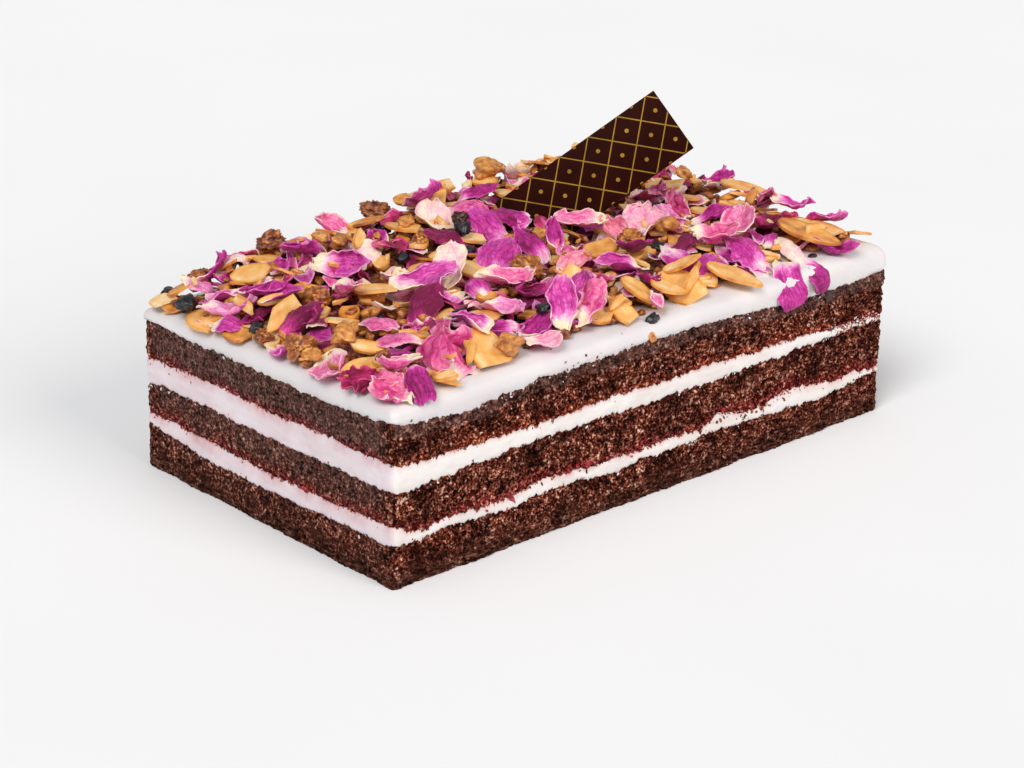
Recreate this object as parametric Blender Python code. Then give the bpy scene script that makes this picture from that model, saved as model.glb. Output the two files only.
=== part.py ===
"""Layered chocolate cake: three sponges, three layers of cream, a topping of petals and nuts, a plaque.

Metres, +Z up. The origin is the middle of the base, +X runs along the long side,
the shown long side faces -Y and the shown short side faces -X.
"""
import math
import random

import bmesh
import bpy
import numpy as np
from mathutils import Matrix, Vector

MM = 0.001
LENGTH = 230.0 * MM
WIDTH = 131.5 * MM
GAP = 0.3 * MM                # clearance between neighbouring pieces

# Heights of the seams between the layers, bottom to top. Each has a flat middle, even stations
# along the long side from the front corner, and even stations along the short side from it.
SEAMS = {
    "base": (0.0, (0.0, 0.0), (0.0, 0.0)),
    "lower_cream_base": (14.0, (14.8, 15.2, 14.6, 14.4, 14.6, 14.6, 13.8, 13.0, 15.4),
                         (14.8, 13.7, 12.7, 12.6, 16.8)),
    "lower_cream_top": (19.0, (21.0, 18.0, 19.0, 18.3, 18.3, 21.0, 18.6, 18.9, 17.6),
                        (21.0, 20.4, 19.2, 20.0, 20.0)),
    "upper_cream_base": (33.5, (33.0, 33.0, 35.0, 34.6, 34.4, 34.4, 34.6, 35.0, 35.6),
                         (33.0, 32.3, 32.0, 32.4, 31.4)),
    "upper_cream_top": (41.0, (42.6, 41.3, 40.9, 40.8, 40.4, 40.4, 40.0, 38.8, 37.4),
                        (42.6, 42.3, 41.5, 41.6, 40.5)),
    "top_cream_base": (55.0, (56.2, 54.0, 56.0, 55.8, 56.6, 55.8, 54.1, 53.0, 54.6),
                       (56.2, 54.0, 53.9, 53.6, 55.0)),
    "top_cream_edge": (63.0, (62.4, 62.6, 63.0, 63.0, 63.2, 63.4, 63.6, 64.0, 64.2),
                       (62.4, 62.4, 61.4, 60.2, 58.8)),
}
HIDDEN_WAVE = 0.6 * MM        # rise and fall of a seam on the two sides away from the viewer
HIDDEN_TURNS = (17.0, 11.0)   # radians that this wave runs through along the length and the width

LONG_CELLS = 20
SHORT_CELLS = 11
CORNER_CUT = 1.6 * MM
CAP_INSET = 11.0 * MM
CRUMB_RELIEF = 0.45 * MM      # how far crags in the cut sponge stand in and out
CREAM_BULGE = 0.5 * MM
# Rings of the top cream's round rim: how far under the edge height and how far in, then how far in
# the rings of its top are
RIM_RINGS = ((4.2, -0.7), (1.7, -0.1), (0.5, 1.5), (0.0, 4.5))
TOP_RING, MIDDLE_RING = 14.0 * MM, 36.0 * MM

# The heap on top: its core, then its pieces
RIM_MARGIN = 6.5 * MM         # bare cream left round the heap
MARGIN_WAVE = 2.2 * MM
CORE_RISE = 6.2 * MM          # height of the core over the cream, away from its rim
CORE_RIM = 2.2 * MM
CORE_SLOPE = 18.0 * MM        # distance over which the rim climbs to the full rise
BACK_RISE = 5.5 * MM          # the heap's back half is higher by this
BACK_START, BACK_RUN = 5.0 * MM, 35.0 * MM    # where that begins, and over what width it grows
STEEP_SLOPE = 7.0 * MM        # along the back and at the swells the rim climbs more steeply
SWELLS = ((-96, 44, 36, 4.5), (30, 52, 26, 3.5), (56, 54, 24, 4.0), (102, 0, 28, 4.0))    # x, y, radius, rise
CORE_LUMP = 1.0 * MM
CORE_CELLS = (23, 13)
CORE_BOTTOM = 57.0 * MM       # it reaches down to here before the cream is cut out of it
RIM_CROWDING = 0.5            # how much closer its cells lie toward its rim, from 0 to 1
SINK = 0.7 * MM               # how deep a piece presses into what it lies on
STACK_LIMIT = 5.5 * MM        # no piece's middle is higher than this over the core
HEAP_SLOT = 0.5 * MM          # clearance between the heap and the plaque
FIELD_CELL = 1.0 * MM
TINY_EDGE = 0.08 * MM         # shorter edges left by the joining are closed up
CLEANING_ROUNDS = 3

SHEET_CELLS = {"petal": (2, 3), "flake": (1, 3)}
THICKNESS = {"petal": 0.9 * MM, "flake": 1.2 * MM}
NORMAL_STEP = 0.02            # share of a petal or flake over which its slope is felt
# Least and greatest width as a share of the length, bend across and bend along in radians, ripple
FORMS = {
    "petal": ((0.55, 0.85), (0.5, 1.35), (0.4, 1.2), 0.45 * MM),
    "flake": ((0.55, 0.7), (0.12, 0.3), (0.15, 0.4), 0.15 * MM),
    "nugget": ((0.55, 0.85), (0.5, 1.35), (0.4, 1.2), 0.45 * MM),
}
RISE_SPREAD, ROLL_SPREAD = 4.0, 14.0          # degrees either way
FACE_DOWN = 0.3               # share of the petals that lie on their faces
FILL_SEED = 16
FILL_SPACING = 15.0 * MM
FILL_CLEAR = 9.0 * MM         # no filling piece is nearer than this to a placed one
FILL_MARGIN = 10.0 * MM
FILL_SHIFT = 3.5 * MM
FILL_KINDS, FILL_WEIGHTS = ("petal", "flake", "nugget"), (5, 4, 2)
FILL_LENGTHS, FILL_NUGGETS = (13.0, 18.0), (7.0, 11.0)
FILL_RISE = 18.0              # degrees, at most

# Pieces that stand out: kind, x, y, heading of the tip in degrees, length, tip's rise in degrees
PLACED = (
    ("petal", 100, 4, 20, 18, 12), ("petal", 102, -17, -100, 12, 66), ("flake", 79, 9, -42, 17, 8),
    ("flake", 80, -11, -60, 15, 5), ("petal", 61, -11, 87, 15, 20), ("petal", 46, -9, 19, 22, 12),
    ("petal", 34, -10, 88, 15, 25), ("petal", 31, -47, -86, 23, -8), ("petal", 40, -34, 0, 17, 30),
    ("petal", 53, -39, -42, 15, 20), ("petal", 65, -40, 17, 16, 25), ("petal", 60, -53, 95, 22, 12),
    ("petal", 77, -54, -95, 16, -6), ("petal", 90, -57, -54, 20, -10), ("flake", 42, -59, -63, 19, -6),
    ("flake", 96, -50, -66, 21, 4), ("flake", 87, -52, -64, 22, -4), ("flake", 109, -57, -7, 15, -6),
    ("petal", 104, -43, -71, 21, 14), ("petal", 104, -28, -55, 16, 0), ("flake", 22, -56, -88, 23, -4),
    ("flake", 27, -49, -35, 13, 6), ("petal", 12, -48, -131, 16, 24), ("flake", -6, -50, -42, 13, 4),
    ("flake", 2, -54, -76, 15, -6), ("flake", 12, -57, -29, 12, -4), ("flake", -9, -59, -83, 14, -14),
    ("flake", -17, -56, -31, 13, -8), ("petal", 22, -31, -89, 14, 22), ("petal", 9, -38, 166, 19, 10),
    ("petal", 85, -33, -42, 17, 18), ("petal", 69, -23, -47, 16, 12), ("nugget", 51, -19, 20, 11, 0),
    ("petal", -10, 42, -79, 19, 24), ("petal", 0, 31, -28, 20, 10), ("petal", 1, 17, 113, 19, 26),
    ("flake", 6, 56, -47, 15, 12), ("flake", -2, 51, -42, 22, 4), ("petal", 13, 42, -20, 16, 16),
    ("nugget", 31, 54, 30, 17, 0), ("petal", -17, -6, 36, 22, 20), ("petal", 0, -4, 96, 16, 26),
    ("nugget", -16, -18, 60, 14, 0), ("flake", -12, -37, -35, 12, 16), ("petal", -19, -48, 29, 22, 12),
    ("petal", -27, -35, 159, 16, 14), ("petal", -33, -25, -34, 19, 8), ("petal", -55, -9, -7, 23, 10),
    ("petal", -67, -24, 22, 19, 30), ("petal", -41, -7, 43, 21, 26), ("petal", -57, -50, 167, 16, 20),
    ("flake", -55, -42, -42, 14, 8), ("petal", -48, -41, -79, 16, 10), ("flake", -69, -58, -105, 22, -14),
    ("nugget", -63, -60, 10, 13, 0), ("petal", -48, -60, -17, 14, -4), ("petal", -65, -46, 98, 15, 18),
    ("petal", -80, -54, 52, 20, 22), ("petal", -100, -62, -75, 15, -12), ("petal", -104, -55, 138, 15, 6),
    ("flake", -90, -61, -48, 12, -4), ("petal", -31, -51, 47, 20, 22), ("petal", -22, -55, 6, 15, 18),
    ("nugget", -8, 25, 40, 8, 0), ("petal", 27, 0, 141, 19, 16), ("petal", -97, 47, 3, 19, 8),
    ("petal", -104, 24, -56, 22, 8), ("petal", -98, 32, 138, 17, 10), ("flake", -90, 33, -68, 17, 6),
    ("flake", -108, 38, -62, 13, -8), ("nugget", -72, 52, 0, 14, 0), ("petal", -62, 55, -15, 17, 22),
    ("petal", -64, 22, -62, 20, 14), ("flake", -71, -6, -56, 17, 5), ("petal", -78, 1, -104, 17, 14),
    ("flake", -101, 6, -13, 22, 8), ("nugget", -106, -13, 0, 12, 0), ("nugget", -100, -26, 50, 12, 0),
    ("petal", -100, -6, -65, 19, 16), ("petal", -42, 53, 109, 16, 24), ("flake", -31, 47, -42, 14, 10),
    ("petal", -86, 55, -63, 14, 18), ("petal", -87, -24, -76, 16, 20), ("nugget", -98, 56, 0, 8, 0),
    ("flake", 100, -9, -48, 18, 6), ("nugget", 98, 19, 0, 9, 0), ("nugget", -22, 54, 0, 12, 0),
    ("petal", 52, 52, 150, 15, 20), ("petal", -106, 50, -20, 14, 12),
)
# Petals draped over the long edges: x, y and z of the middle, heading, length, width
HANGING = ((65.0, -67.3, 62.5, -98, 24, 14), (78.5, -67.0, 62.3, -82, 18, 10), (27.0, 66.8, 59.6, 84, 22, 13))
HANGING_RISE = -50.0
HANGING_CURL, HANGING_CUP = 2.2, 0.4

PLAQUE_SIZE = (69.0 * MM, 2.2 * MM, 24.8 * MM)
PLAQUE_CENTRE = (40.0 * MM, 8.0 * MM, 86.8 * MM)
PLAQUE_CLIMB = 38.0           # degrees its long edge rises
PLAQUE_LEAN = 21.0            # degrees its face leans back
PLAQUE_TURN = -48.5


def ease(value):
    """Smooth step between 0 and 1."""
    value = min(max(value, 0.0), 1.0)
    return value * value * (3.0 - 2.0 * value)


def along(stations, fraction):
    """Height at a fraction of the way along evenly spaced stations."""
    place = min(max(fraction, 0.0), 1.0) * (len(stations) - 1)
    index = min(int(place), len(stations) - 2)
    blend = ease(place - index)
    return (stations[index] * (1.0 - blend) + stations[index + 1] * blend) * MM


def seam_height(seam, x, y):
    """Height of a seam where it meets the outside of the cake at x, y."""
    _, long_side, short_side = SEAMS[seam]
    far_x, far_y = x / LENGTH + 0.5, y / WIDTH + 0.5
    to_front, to_left = y + WIDTH / 2, x + LENGTH / 2
    if to_front <= CORNER_CUT * 1.01:
        return along(long_side, far_x)
    if to_left <= CORNER_CUT * 1.01:
        return along(short_side, far_y)
    right, left = long_side[-1] * MM, short_side[-1] * MM
    back_right = (right + left) / 2
    wave = HIDDEN_WAVE * math.sin(far_x * HIDDEN_TURNS[0] + far_y * HIDDEN_TURNS[1]) * (seam != "base")
    if WIDTH / 2 - y <= CORNER_CUT * 1.01:
        fade = math.sin(math.pi * min(max(far_x, 0.0), 1.0))
        return left + (back_right - left) * far_x + wave * fade
    fade = math.sin(math.pi * min(max(far_y, 0.0), 1.0))
    return right + (back_right - right) * far_y + wave * fade


def outline(inset):
    """Points round the cake, anticlockwise from the front corner, moved in by inset."""
    half_x, half_y = LENGTH / 2 - inset, WIDTH / 2 - inset
    sides = 2 * ((half_x, half_y, LONG_CELLS), (half_y, half_x, SHORT_CELLS))
    points = []
    for turn, (run, reach, cells) in enumerate(sides):
        for step in range(cells + 1):
            x, y = (run - CORNER_CUT) * (2.0 * step / cells - 1.0), -reach
            for _ in range(turn):
                x, y = -y, x
            points.append((x, y))
    return points


def cream_height(x, y):
    """Height of the cream's top surface."""
    half_x, half_y = LENGTH / 2, WIDTH / 2
    inside = min(half_x - abs(x), half_y - abs(y))
    edge_x = max(-half_x, min(half_x, x))
    edge_y = max(-half_y, min(half_y, y))
    if half_x - abs(x) < half_y - abs(y):
        edge_x = math.copysign(half_x, x)
    else:
        edge_y = math.copysign(half_y, y)
    middle = SEAMS["top_cream_edge"][0] * MM
    edge = seam_height("top_cream_edge", edge_x, edge_y)
    return middle + (edge - middle) * (1.0 - ease(inside / MIDDLE_RING))


def make_object(name, mesh_builder, material):
    """Object named name from a filled bmesh, with its own material."""
    mesh = bpy.data.meshes.new(name)
    bmesh.ops.recalc_face_normals(mesh_builder, faces=mesh_builder.faces)
    mesh_builder.to_mesh(mesh)
    mesh_builder.free()
    thing = bpy.data.objects.new(name, mesh)
    bpy.context.scene.collection.objects.link(thing)
    mesh.materials.append(material)
    return thing


def make_material(name, colour, roughness):
    """Principled material with one colour."""
    material = bpy.data.materials.new(name)
    material.use_nodes = True
    shader = material.node_tree.nodes["Principled BSDF"]
    shader.inputs["Base Color"].default_value = (*colour, 1.0)
    shader.inputs["Roughness"].default_value = roughness
    shader.inputs["Metallic"].default_value = 0.0
    return material


def stack_rings(rings):
    """Closed solid through rings of points, bottom to top, with flat caps.

    The underside's strip is split the other way, so that it lies on the top of the layer below it.
    """
    solid = bmesh.new()
    made = [[solid.verts.new(point) for point in ring] for ring in rings]
    count = len(made[0])
    for level, (low, high) in enumerate(zip(made, made[1:])):
        for i in range(count):
            j = (i + 1) % count
            if level == 0:
                solid.faces.new((low[i], low[j], high[i]))
                solid.faces.new((low[j], high[j], high[i]))
            else:
                solid.faces.new((low[i], low[j], high[j]))
                solid.faces.new((low[i], high[j], high[i]))
    solid.faces.new(list(reversed(made[0])))
    solid.faces.new(made[-1])
    return solid


def cap_ring(seam, lift):
    """Flat ring inside the cake at a seam's middle height."""
    return [(x, y, SEAMS[seam][0] * MM + lift) for x, y in outline(CAP_INSET)]


def edge_ring(seam, lift):
    """Ring where a seam comes to the outside."""
    return [(x, y, seam_height(seam, x, y) + lift) for x, y in outline(0.0)]


def wall_rings(low_ring, high_ring, rows, reach, relief, seed):
    """Rings between two edge rings, bulged out by reach and roughened by relief."""
    draw = random.Random(seed)
    rings = []
    for row in range(1, rows):
        part = row / rows
        ring = []
        for (x, y, low), (_, _, high) in zip(low_ring, high_ring):
            out = reach * math.sin(math.pi * part) + relief * draw.uniform(-1.0, 1.0)
            grow_x, grow_y = 1.0 + 2 * out / LENGTH, 1.0 + 2 * out / WIDTH
            ring.append((x * grow_x, y * grow_y, low + (high - low) * part))
        rings.append(ring)
    return rings


def build_layer(name, low_seam, high_seam, rows, reach, relief, material, seed):
    """A sponge or a filling between two seams."""
    low_lift = 0.0 if low_seam == "base" else GAP / 2
    low_ring, high_ring = edge_ring(low_seam, low_lift), edge_ring(high_seam, -GAP / 2)
    rings = [cap_ring(low_seam, low_lift), low_ring]
    rings += wall_rings(low_ring, high_ring, rows, reach, relief, seed)
    rings += [high_ring, cap_ring(high_seam, -GAP / 2)]
    return make_object(name, stack_rings(rings), material)


def build_top_cream(material):
    """The cream on top, with a soft round edge and a gently uneven surface."""
    low_ring = edge_ring("top_cream_base", GAP / 2)
    rings = [cap_ring("top_cream_base", GAP / 2), low_ring]
    for drop, inset in RIM_RINGS:
        rings.append([(x, y, seam_height("top_cream_edge", ex, ey) - drop * MM)
                      for (x, y), (ex, ey) in zip(outline(inset * MM), outline(0.0))])
    rings.append([(x, y, cream_height(x, y)) for x, y in outline(TOP_RING)])
    rings.append([(x, y, SEAMS["top_cream_edge"][0] * MM) for x, y in outline(MIDDLE_RING)])
    return make_object("cream_top", stack_rings(rings), material)


def plaque_matrix():
    """Place of the plaque: its long edge climbs to the right and its face leans back."""
    turn = Matrix.Rotation(math.radians(PLAQUE_TURN), 4, "Z")
    lean = Matrix.Rotation(-math.radians(PLAQUE_LEAN), 4, "X")
    climb = Matrix.Rotation(-math.radians(PLAQUE_CLIMB), 4, "Y")
    return Matrix.Translation(PLAQUE_CENTRE) @ turn @ lean @ climb


def build_plaque(name, material, grow):
    """The chocolate plaque, a thin plate; grow makes it larger all round, as a cutter."""
    solid = bmesh.new()
    bmesh.ops.create_cube(solid, size=1.0)
    bmesh.ops.scale(solid, verts=solid.verts, vec=[side + 2 * grow for side in PLAQUE_SIZE])
    bmesh.ops.transform(solid, verts=solid.verts, matrix=plaque_matrix())
    return make_object(name, solid, material)


def core_margin(place, seed):
    """Wavy width of the bare cream beside the heap."""
    waves = math.sin(place * 61.0 + seed) + 0.6 * math.sin(place * 147.0 + 2.3 * seed)
    return RIM_MARGIN + MARGIN_WAVE * waves / 1.6


def core_place(part_x, part_y):
    """Point of the heap's footprint for fractions from -1 to 1 across it."""
    half_x = LENGTH / 2 - core_margin(part_y * WIDTH / 2, 1.0 if part_x < 0 else 2.0)
    half_y = WIDTH / 2 - core_margin(part_x * LENGTH / 2, 3.0 if part_y < 0 else 4.0)
    return part_x * half_x, part_y * half_y


def core_height(x, y):
    """Top of the heap's core, lumpy, and higher and steeper along the back and at its swells."""
    inside = min(LENGTH / 2 - abs(x), WIDTH / 2 - abs(y)) - RIM_MARGIN
    steep = ease((y - BACK_START) / BACK_RUN)
    rise = CORE_RISE + BACK_RISE * steep
    for swell_x, swell_y, radius, height in SWELLS:
        near = ease(1.0 - math.hypot(x / MM - swell_x, y / MM - swell_y) / radius)
        rise += height * MM * near
        steep = max(steep, near)
    climb = inside / (CORE_SLOPE + (STEEP_SLOPE - CORE_SLOPE) * steep)
    lump = math.sin(x * 210.0 + 1.0) * math.sin(y * 260.0) + math.sin(x * 97.0 - y * 143.0 + 2.0)
    rise = CORE_RIM + (rise - CORE_RIM) * ease(climb)
    return cream_height(x, y) + rise + CORE_LUMP * lump * ease(climb + 0.3) / 2


def crowded(part):
    """Move an evenly spaced fraction from -1 to 1 closer to the nearer end."""
    return part + RIM_CROWDING * (math.sin(part * math.pi / 2) - part)


def build_core(material):
    """The heap's core, reaching down into the cream before it is trimmed."""
    cells_x, cells_y = CORE_CELLS
    solid = bmesh.new()
    upper, lower = {}, {}
    for i in range(cells_x + 1):
        for j in range(cells_y + 1):
            x, y = core_place(crowded(2.0 * i / cells_x - 1.0), crowded(2.0 * j / cells_y - 1.0))
            upper[i, j] = solid.verts.new((x, y, core_height(x, y)))
            if i in (0, cells_x) or j in (0, cells_y):
                lower[i, j] = solid.verts.new((x, y, CORE_BOTTOM))
    for i in range(cells_x):
        for j in range(cells_y):
            a, b = upper[i, j], upper[i + 1, j]
            c, d = upper[i + 1, j + 1], upper[i, j + 1]
            solid.faces.new((a, b, c))
            solid.faces.new((a, c, d))
    rim = [(i, 0) for i in range(cells_x)] + [(cells_x, j) for j in range(cells_y)]
    rim += [(i, cells_y) for i in range(cells_x, 0, -1)] + [(0, j) for j in range(cells_y, 0, -1)]
    for here, there in zip(rim, rim[1:] + rim[:1]):
        solid.faces.new((lower[here], lower[there], upper[there], upper[here]))
    solid.faces.new([lower[key] for key in reversed(rim)])
    return make_object("topping_heap", solid, material)


def half_width(kind, part):
    """Half the width of a petal or flake, as a share of its greatest, along its length."""
    if kind == "flake":
        return math.sqrt(1.0 - 0.93 * (2.0 * part - 1.0) ** 2)
    return (0.22 * (1.0 - part) + math.sin(0.82 * math.pi * part ** 0.9) ** 0.8) / 1.08


def sheet_point(piece, side, part):
    """Point of a petal's or flake's middle surface: side from -1 to 1, part from 0 to 1."""
    half = piece["width"] / 2 * half_width(piece["kind"], part)
    angle = piece["cup"] * half / (piece["width"] / 2)
    x = half * math.sin(angle * side) / angle
    z = half * (1.0 - math.cos(angle * side)) / angle
    run = (part - 0.5 + 0.1 * part * (1.0 - side * side)) * piece["length"]
    bend = piece["curl"]
    y = piece["length"] / bend * math.sin(bend * run / piece["length"])
    z += piece["length"] / bend * (1.0 - math.cos(bend * run / piece["length"]))
    ripple = math.sin(piece["phase"] + 5.0 * part) * side * abs(side)
    ripple += math.sin(2.0 * piece["phase"] + 7.0 * part)
    z += piece["ripple"] * ripple
    return Vector((x, y, z))


def nugget_radius(piece, direction):
    """Lumpy radius of a nut cluster in a direction."""
    phase = piece["phase"]
    lump = math.sin(3.1 * direction.x + phase) * math.sin(2.7 * direction.y + 2.0 * phase)
    lump += 0.6 * math.sin(5.3 * direction.z + 3.7 * direction.x + phase)
    return piece["length"] / 2 * (0.86 + 0.16 * lump)


def nugget_point(piece, direction):
    """Point of a nut cluster's surface; it is flatter than it is long."""
    radius = nugget_radius(piece, direction)
    return Vector((direction.x * radius * 0.85, direction.y * radius, direction.z * radius * 0.62))


def piece_shape(kind, x, y, heading, length, rise, seed):
    """Sizes and place of one topping piece, with its curl and tilt drawn from its seed."""
    draw = random.Random(seed)
    width, cup, curl, ripple = FORMS[kind]
    return {
        "kind": kind, "x": x * MM, "y": y * MM, "heading": heading, "length": length * MM,
        "width": length * MM * draw.uniform(*width),
        "cup": draw.uniform(*cup),
        "curl": draw.uniform(*curl),
        "ripple": ripple,
        "phase": draw.uniform(0.0, 2 * math.pi),
        "rise": rise + draw.uniform(-RISE_SPREAD, RISE_SPREAD),
        "roll": draw.uniform(-ROLL_SPREAD, ROLL_SPREAD)
                + (180.0 if kind != "flake" and draw.random() < FACE_DOWN else 0.0),
    }


def samples(piece):
    """Points all over a piece, close enough together to feel what lies under it."""
    if piece["kind"] == "nugget":
        points = []
        for a in range(0, 360, 24):
            flat = Vector((math.cos(math.radians(a)), math.sin(math.radians(a)), 0.0))
            for b in (math.radians(step) for step in range(-80, 81, 20)):
                points.append(nugget_point(piece, flat * math.cos(b) + Vector((0.0, 0.0, math.sin(b)))))
        return points
    return [sheet_point(piece, i / 5.0 - 1.0, j / 12.0) for i in range(11) for j in range(13)]


class HeightField:
    """Height of everything laid so far, on a square grid over the cake's top."""

    def __init__(self):
        self.reach_x, self.reach_y = LENGTH / 2 + 12 * MM, WIDTH / 2 + 12 * MM
        count_x = int(2 * self.reach_x / FIELD_CELL) + 1
        count_y = int(2 * self.reach_y / FIELD_CELL) + 1
        self.heights = np.zeros((count_x, count_y))
        for i in range(count_x):
            for j in range(count_y):
                x, y = i * FIELD_CELL - self.reach_x, j * FIELD_CELL - self.reach_y
                inside = min(LENGTH / 2 - abs(x), WIDTH / 2 - abs(y))
                if inside >= RIM_MARGIN:
                    self.heights[i, j] = core_height(x, y)
                elif inside >= 0.0:
                    self.heights[i, j] = cream_height(x, y)

    def cell(self, x, y):
        """Cell of the grid that holds a point."""
        i = int(round((x + self.reach_x) / FIELD_CELL))
        j = int(round((y + self.reach_y) / FIELD_CELL))
        return (min(max(i, 0), self.heights.shape[0] - 1), min(max(j, 0), self.heights.shape[1] - 1))

    def slope(self, x, y, reach, angle):
        """Fall of the surface along a direction, within what a light piece follows."""
        dx, dy = math.cos(angle) * reach, math.sin(angle) * reach
        change = self.heights[self.cell(x + dx, y + dy)] - self.heights[self.cell(x - dx, y - dy)]
        return min(max(math.atan2(change, 2 * reach), -0.3), 0.3)

    def lay(self, piece):
        """Matrix of a piece dropped where it touches, and the surface raised by it."""
        angle = math.radians(piece["heading"])
        reach = piece["length"] / 3
        rise = math.radians(piece["rise"]) + self.slope(piece["x"], piece["y"], reach, angle)
        roll = math.radians(piece["roll"]) - self.slope(piece["x"], piece["y"], reach, angle - math.pi / 2)
        turn = Matrix.Rotation(angle - math.pi / 2, 4, "Z") @ Matrix.Rotation(rise, 4, "X")
        turn = turn @ Matrix.Rotation(roll, 4, "Y")
        points = [turn @ point + Vector((piece["x"], piece["y"], 0.0)) for point in samples(piece)]
        cells = [self.cell(point.x, point.y) for point in points]
        drop = max(self.heights[cell] - point.z for cell, point in zip(cells, points)) - SINK
        drop = min(drop, core_height(piece["x"], piece["y"]) + STACK_LIMIT)
        above = drop + THICKNESS.get(piece["kind"], 0.0) / 2
        for cell, point in zip(cells, points):
            self.heights[cell] = max(self.heights[cell], point.z + above)
        return Matrix.Translation((piece["x"], piece["y"], drop)) @ turn


def sheet_mesh(piece):
    """Thin wavy solid of a petal or flake, both faces split into triangles alike."""
    across, down = SHEET_CELLS[piece["kind"]]
    half = THICKNESS[piece["kind"]] / 2
    solid = bmesh.new()
    faces = {}
    step = NORMAL_STEP
    for i in range(across + 1):
        for j in range(down + 1):
            side, part = 2.0 * i / across - 1.0, j / down
            here = sheet_point(piece, side, part)
            to_side = sheet_point(piece, side + step, part) - sheet_point(piece, side - step, part)
            to_tip = sheet_point(piece, side, min(part + step, 1.0))
            to_tip -= sheet_point(piece, side, max(part - step, 0.0))
            normal = to_side.cross(to_tip).normalized()
            faces[i, j] = (solid.verts.new(here + normal * half), solid.verts.new(here - normal * half))
    for i in range(across):
        for j in range(down):
            for level, order in ((0, 1), (1, -1)):
                a, b, c, d = (faces[k][level] for k in ((i, j), (i + 1, j), (i + 1, j + 1), (i, j + 1)))
                solid.faces.new((a, b, c)[::order])
                solid.faces.new((a, c, d)[::order])
    rim = [(i, 0) for i in range(across)] + [(across, j) for j in range(down)]
    rim += [(i, down) for i in range(across, 0, -1)] + [(0, j) for j in range(down, 0, -1)]
    for here, there in zip(rim, rim[1:] + rim[:1]):
        solid.faces.new((faces[here][1], faces[there][1], faces[there][0]))
        solid.faces.new((faces[here][1], faces[there][0], faces[here][0]))
    return solid


def nugget_mesh(piece):
    """Lumpy solid of a nut cluster."""
    solid = bmesh.new()
    bmesh.ops.create_icosphere(solid, subdivisions=1, radius=1.0)
    for vertex in solid.verts:
        vertex.co = nugget_point(piece, vertex.co.normalized())
    return solid


def fill_pieces():
    """Pieces between the placed ones, on a jittered grid, in a random mix."""
    draw = random.Random(FILL_SEED)
    pieces = []
    columns = int(LENGTH / FILL_SPACING)
    rows = int(WIDTH / FILL_SPACING)
    for column in range(columns):
        for row in range(rows):
            x = ((column + 0.5) / columns * 2.0 - 1.0) * (LENGTH / 2 - FILL_MARGIN)
            y = ((row + 0.5) / rows * 2.0 - 1.0) * (WIDTH / 2 - FILL_MARGIN)
            x += draw.uniform(-FILL_SHIFT, FILL_SHIFT)
            y += draw.uniform(-FILL_SHIFT, FILL_SHIFT)
            kind = draw.choices(FILL_KINDS, FILL_WEIGHTS)[0]
            heading, rise = draw.uniform(0.0, 360.0), draw.uniform(0.0, FILL_RISE)
            size = draw.uniform(*(FILL_NUGGETS if kind == "nugget" else FILL_LENGTHS))
            near = min(math.hypot(x - place[1] * MM, y - place[2] * MM) for place in PLACED)
            if near > FILL_CLEAR:
                pieces.append(piece_shape(kind, x / MM, y / MM, heading, size, rise, 900 + len(pieces)))
    return pieces


def fuse_pieces(heap):
    """Lay every piece on the core and join them all to it."""
    field = HeightField()
    pieces = fill_pieces()
    pieces += [piece_shape(*place, 100 + index) for index, place in enumerate(PLACED)]
    group = bpy.data.collections.new("pieces")
    bpy.context.scene.collection.children.link(group)
    laid = [(piece, field.lay(piece)) for piece in pieces]
    for index, (x, y, z, heading, length, width) in enumerate(HANGING):
        piece = piece_shape("petal", x, y, heading, length, HANGING_RISE, 300 + index)
        piece["curl"], piece["cup"] = HANGING_CURL, HANGING_CUP
        piece["width"] = width * MM
        turn = Matrix.Rotation(math.radians(heading - 90.0), 4, "Z")
        turn = turn @ Matrix.Rotation(math.radians(HANGING_RISE), 4, "X") @ Matrix.Rotation(math.pi, 4, "Y")
        laid.append((piece, Matrix.Translation((x * MM, y * MM, z * MM)) @ turn))
    for index, (piece, matrix) in enumerate(laid):
        solid = nugget_mesh(piece) if piece["kind"] == "nugget" else sheet_mesh(piece)
        bmesh.ops.transform(solid, verts=solid.verts, matrix=matrix)
        bmesh.ops.recalc_face_normals(solid, faces=solid.faces)
        mesh = bpy.data.meshes.new(f"piece_{index}")
        solid.to_mesh(mesh)
        solid.free()
        group.objects.link(bpy.data.objects.new(f"piece_{index}", mesh))
    union = heap.modifiers.new("fuse", "BOOLEAN")
    union.operation = "UNION"
    union.operand_type = "COLLECTION"
    union.collection = group
    union.solver = "MANIFOLD"
    apply_modifiers(heap)
    for piece in list(group.objects):
        bpy.data.objects.remove(piece)
    bpy.data.collections.remove(group)


def apply_modifiers(thing):
    """Replace an object's mesh by its evaluated one."""
    depsgraph = bpy.context.evaluated_depsgraph_get()
    mesh = bpy.data.meshes.new_from_object(thing.evaluated_get(depsgraph))
    thing.modifiers.clear()
    thing.data = mesh


def cut_away(thing, cutter):
    """Cut a cutter out of an object and remove the cutter."""
    cutter.hide_render = True
    cutter.display_type = "WIRE"
    cut = thing.modifiers.new("cut", "BOOLEAN")
    cut.operation = "DIFFERENCE"
    cut.object = cutter
    cut.solver = "MANIFOLD"
    apply_modifiers(thing)
    bpy.data.objects.remove(cutter)


def grown_copy(thing, grow):
    """Copy of an object with every face moved out by grow."""
    solid = bmesh.new()
    solid.from_mesh(thing.data)
    solid.normal_update()
    moves = [(vertex, vertex.normal * vertex.calc_shell_factor() * grow) for vertex in solid.verts]
    for vertex, move in moves:
        vertex.co += move
    return make_object("clearance", solid, thing.data.materials[0])


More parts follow.
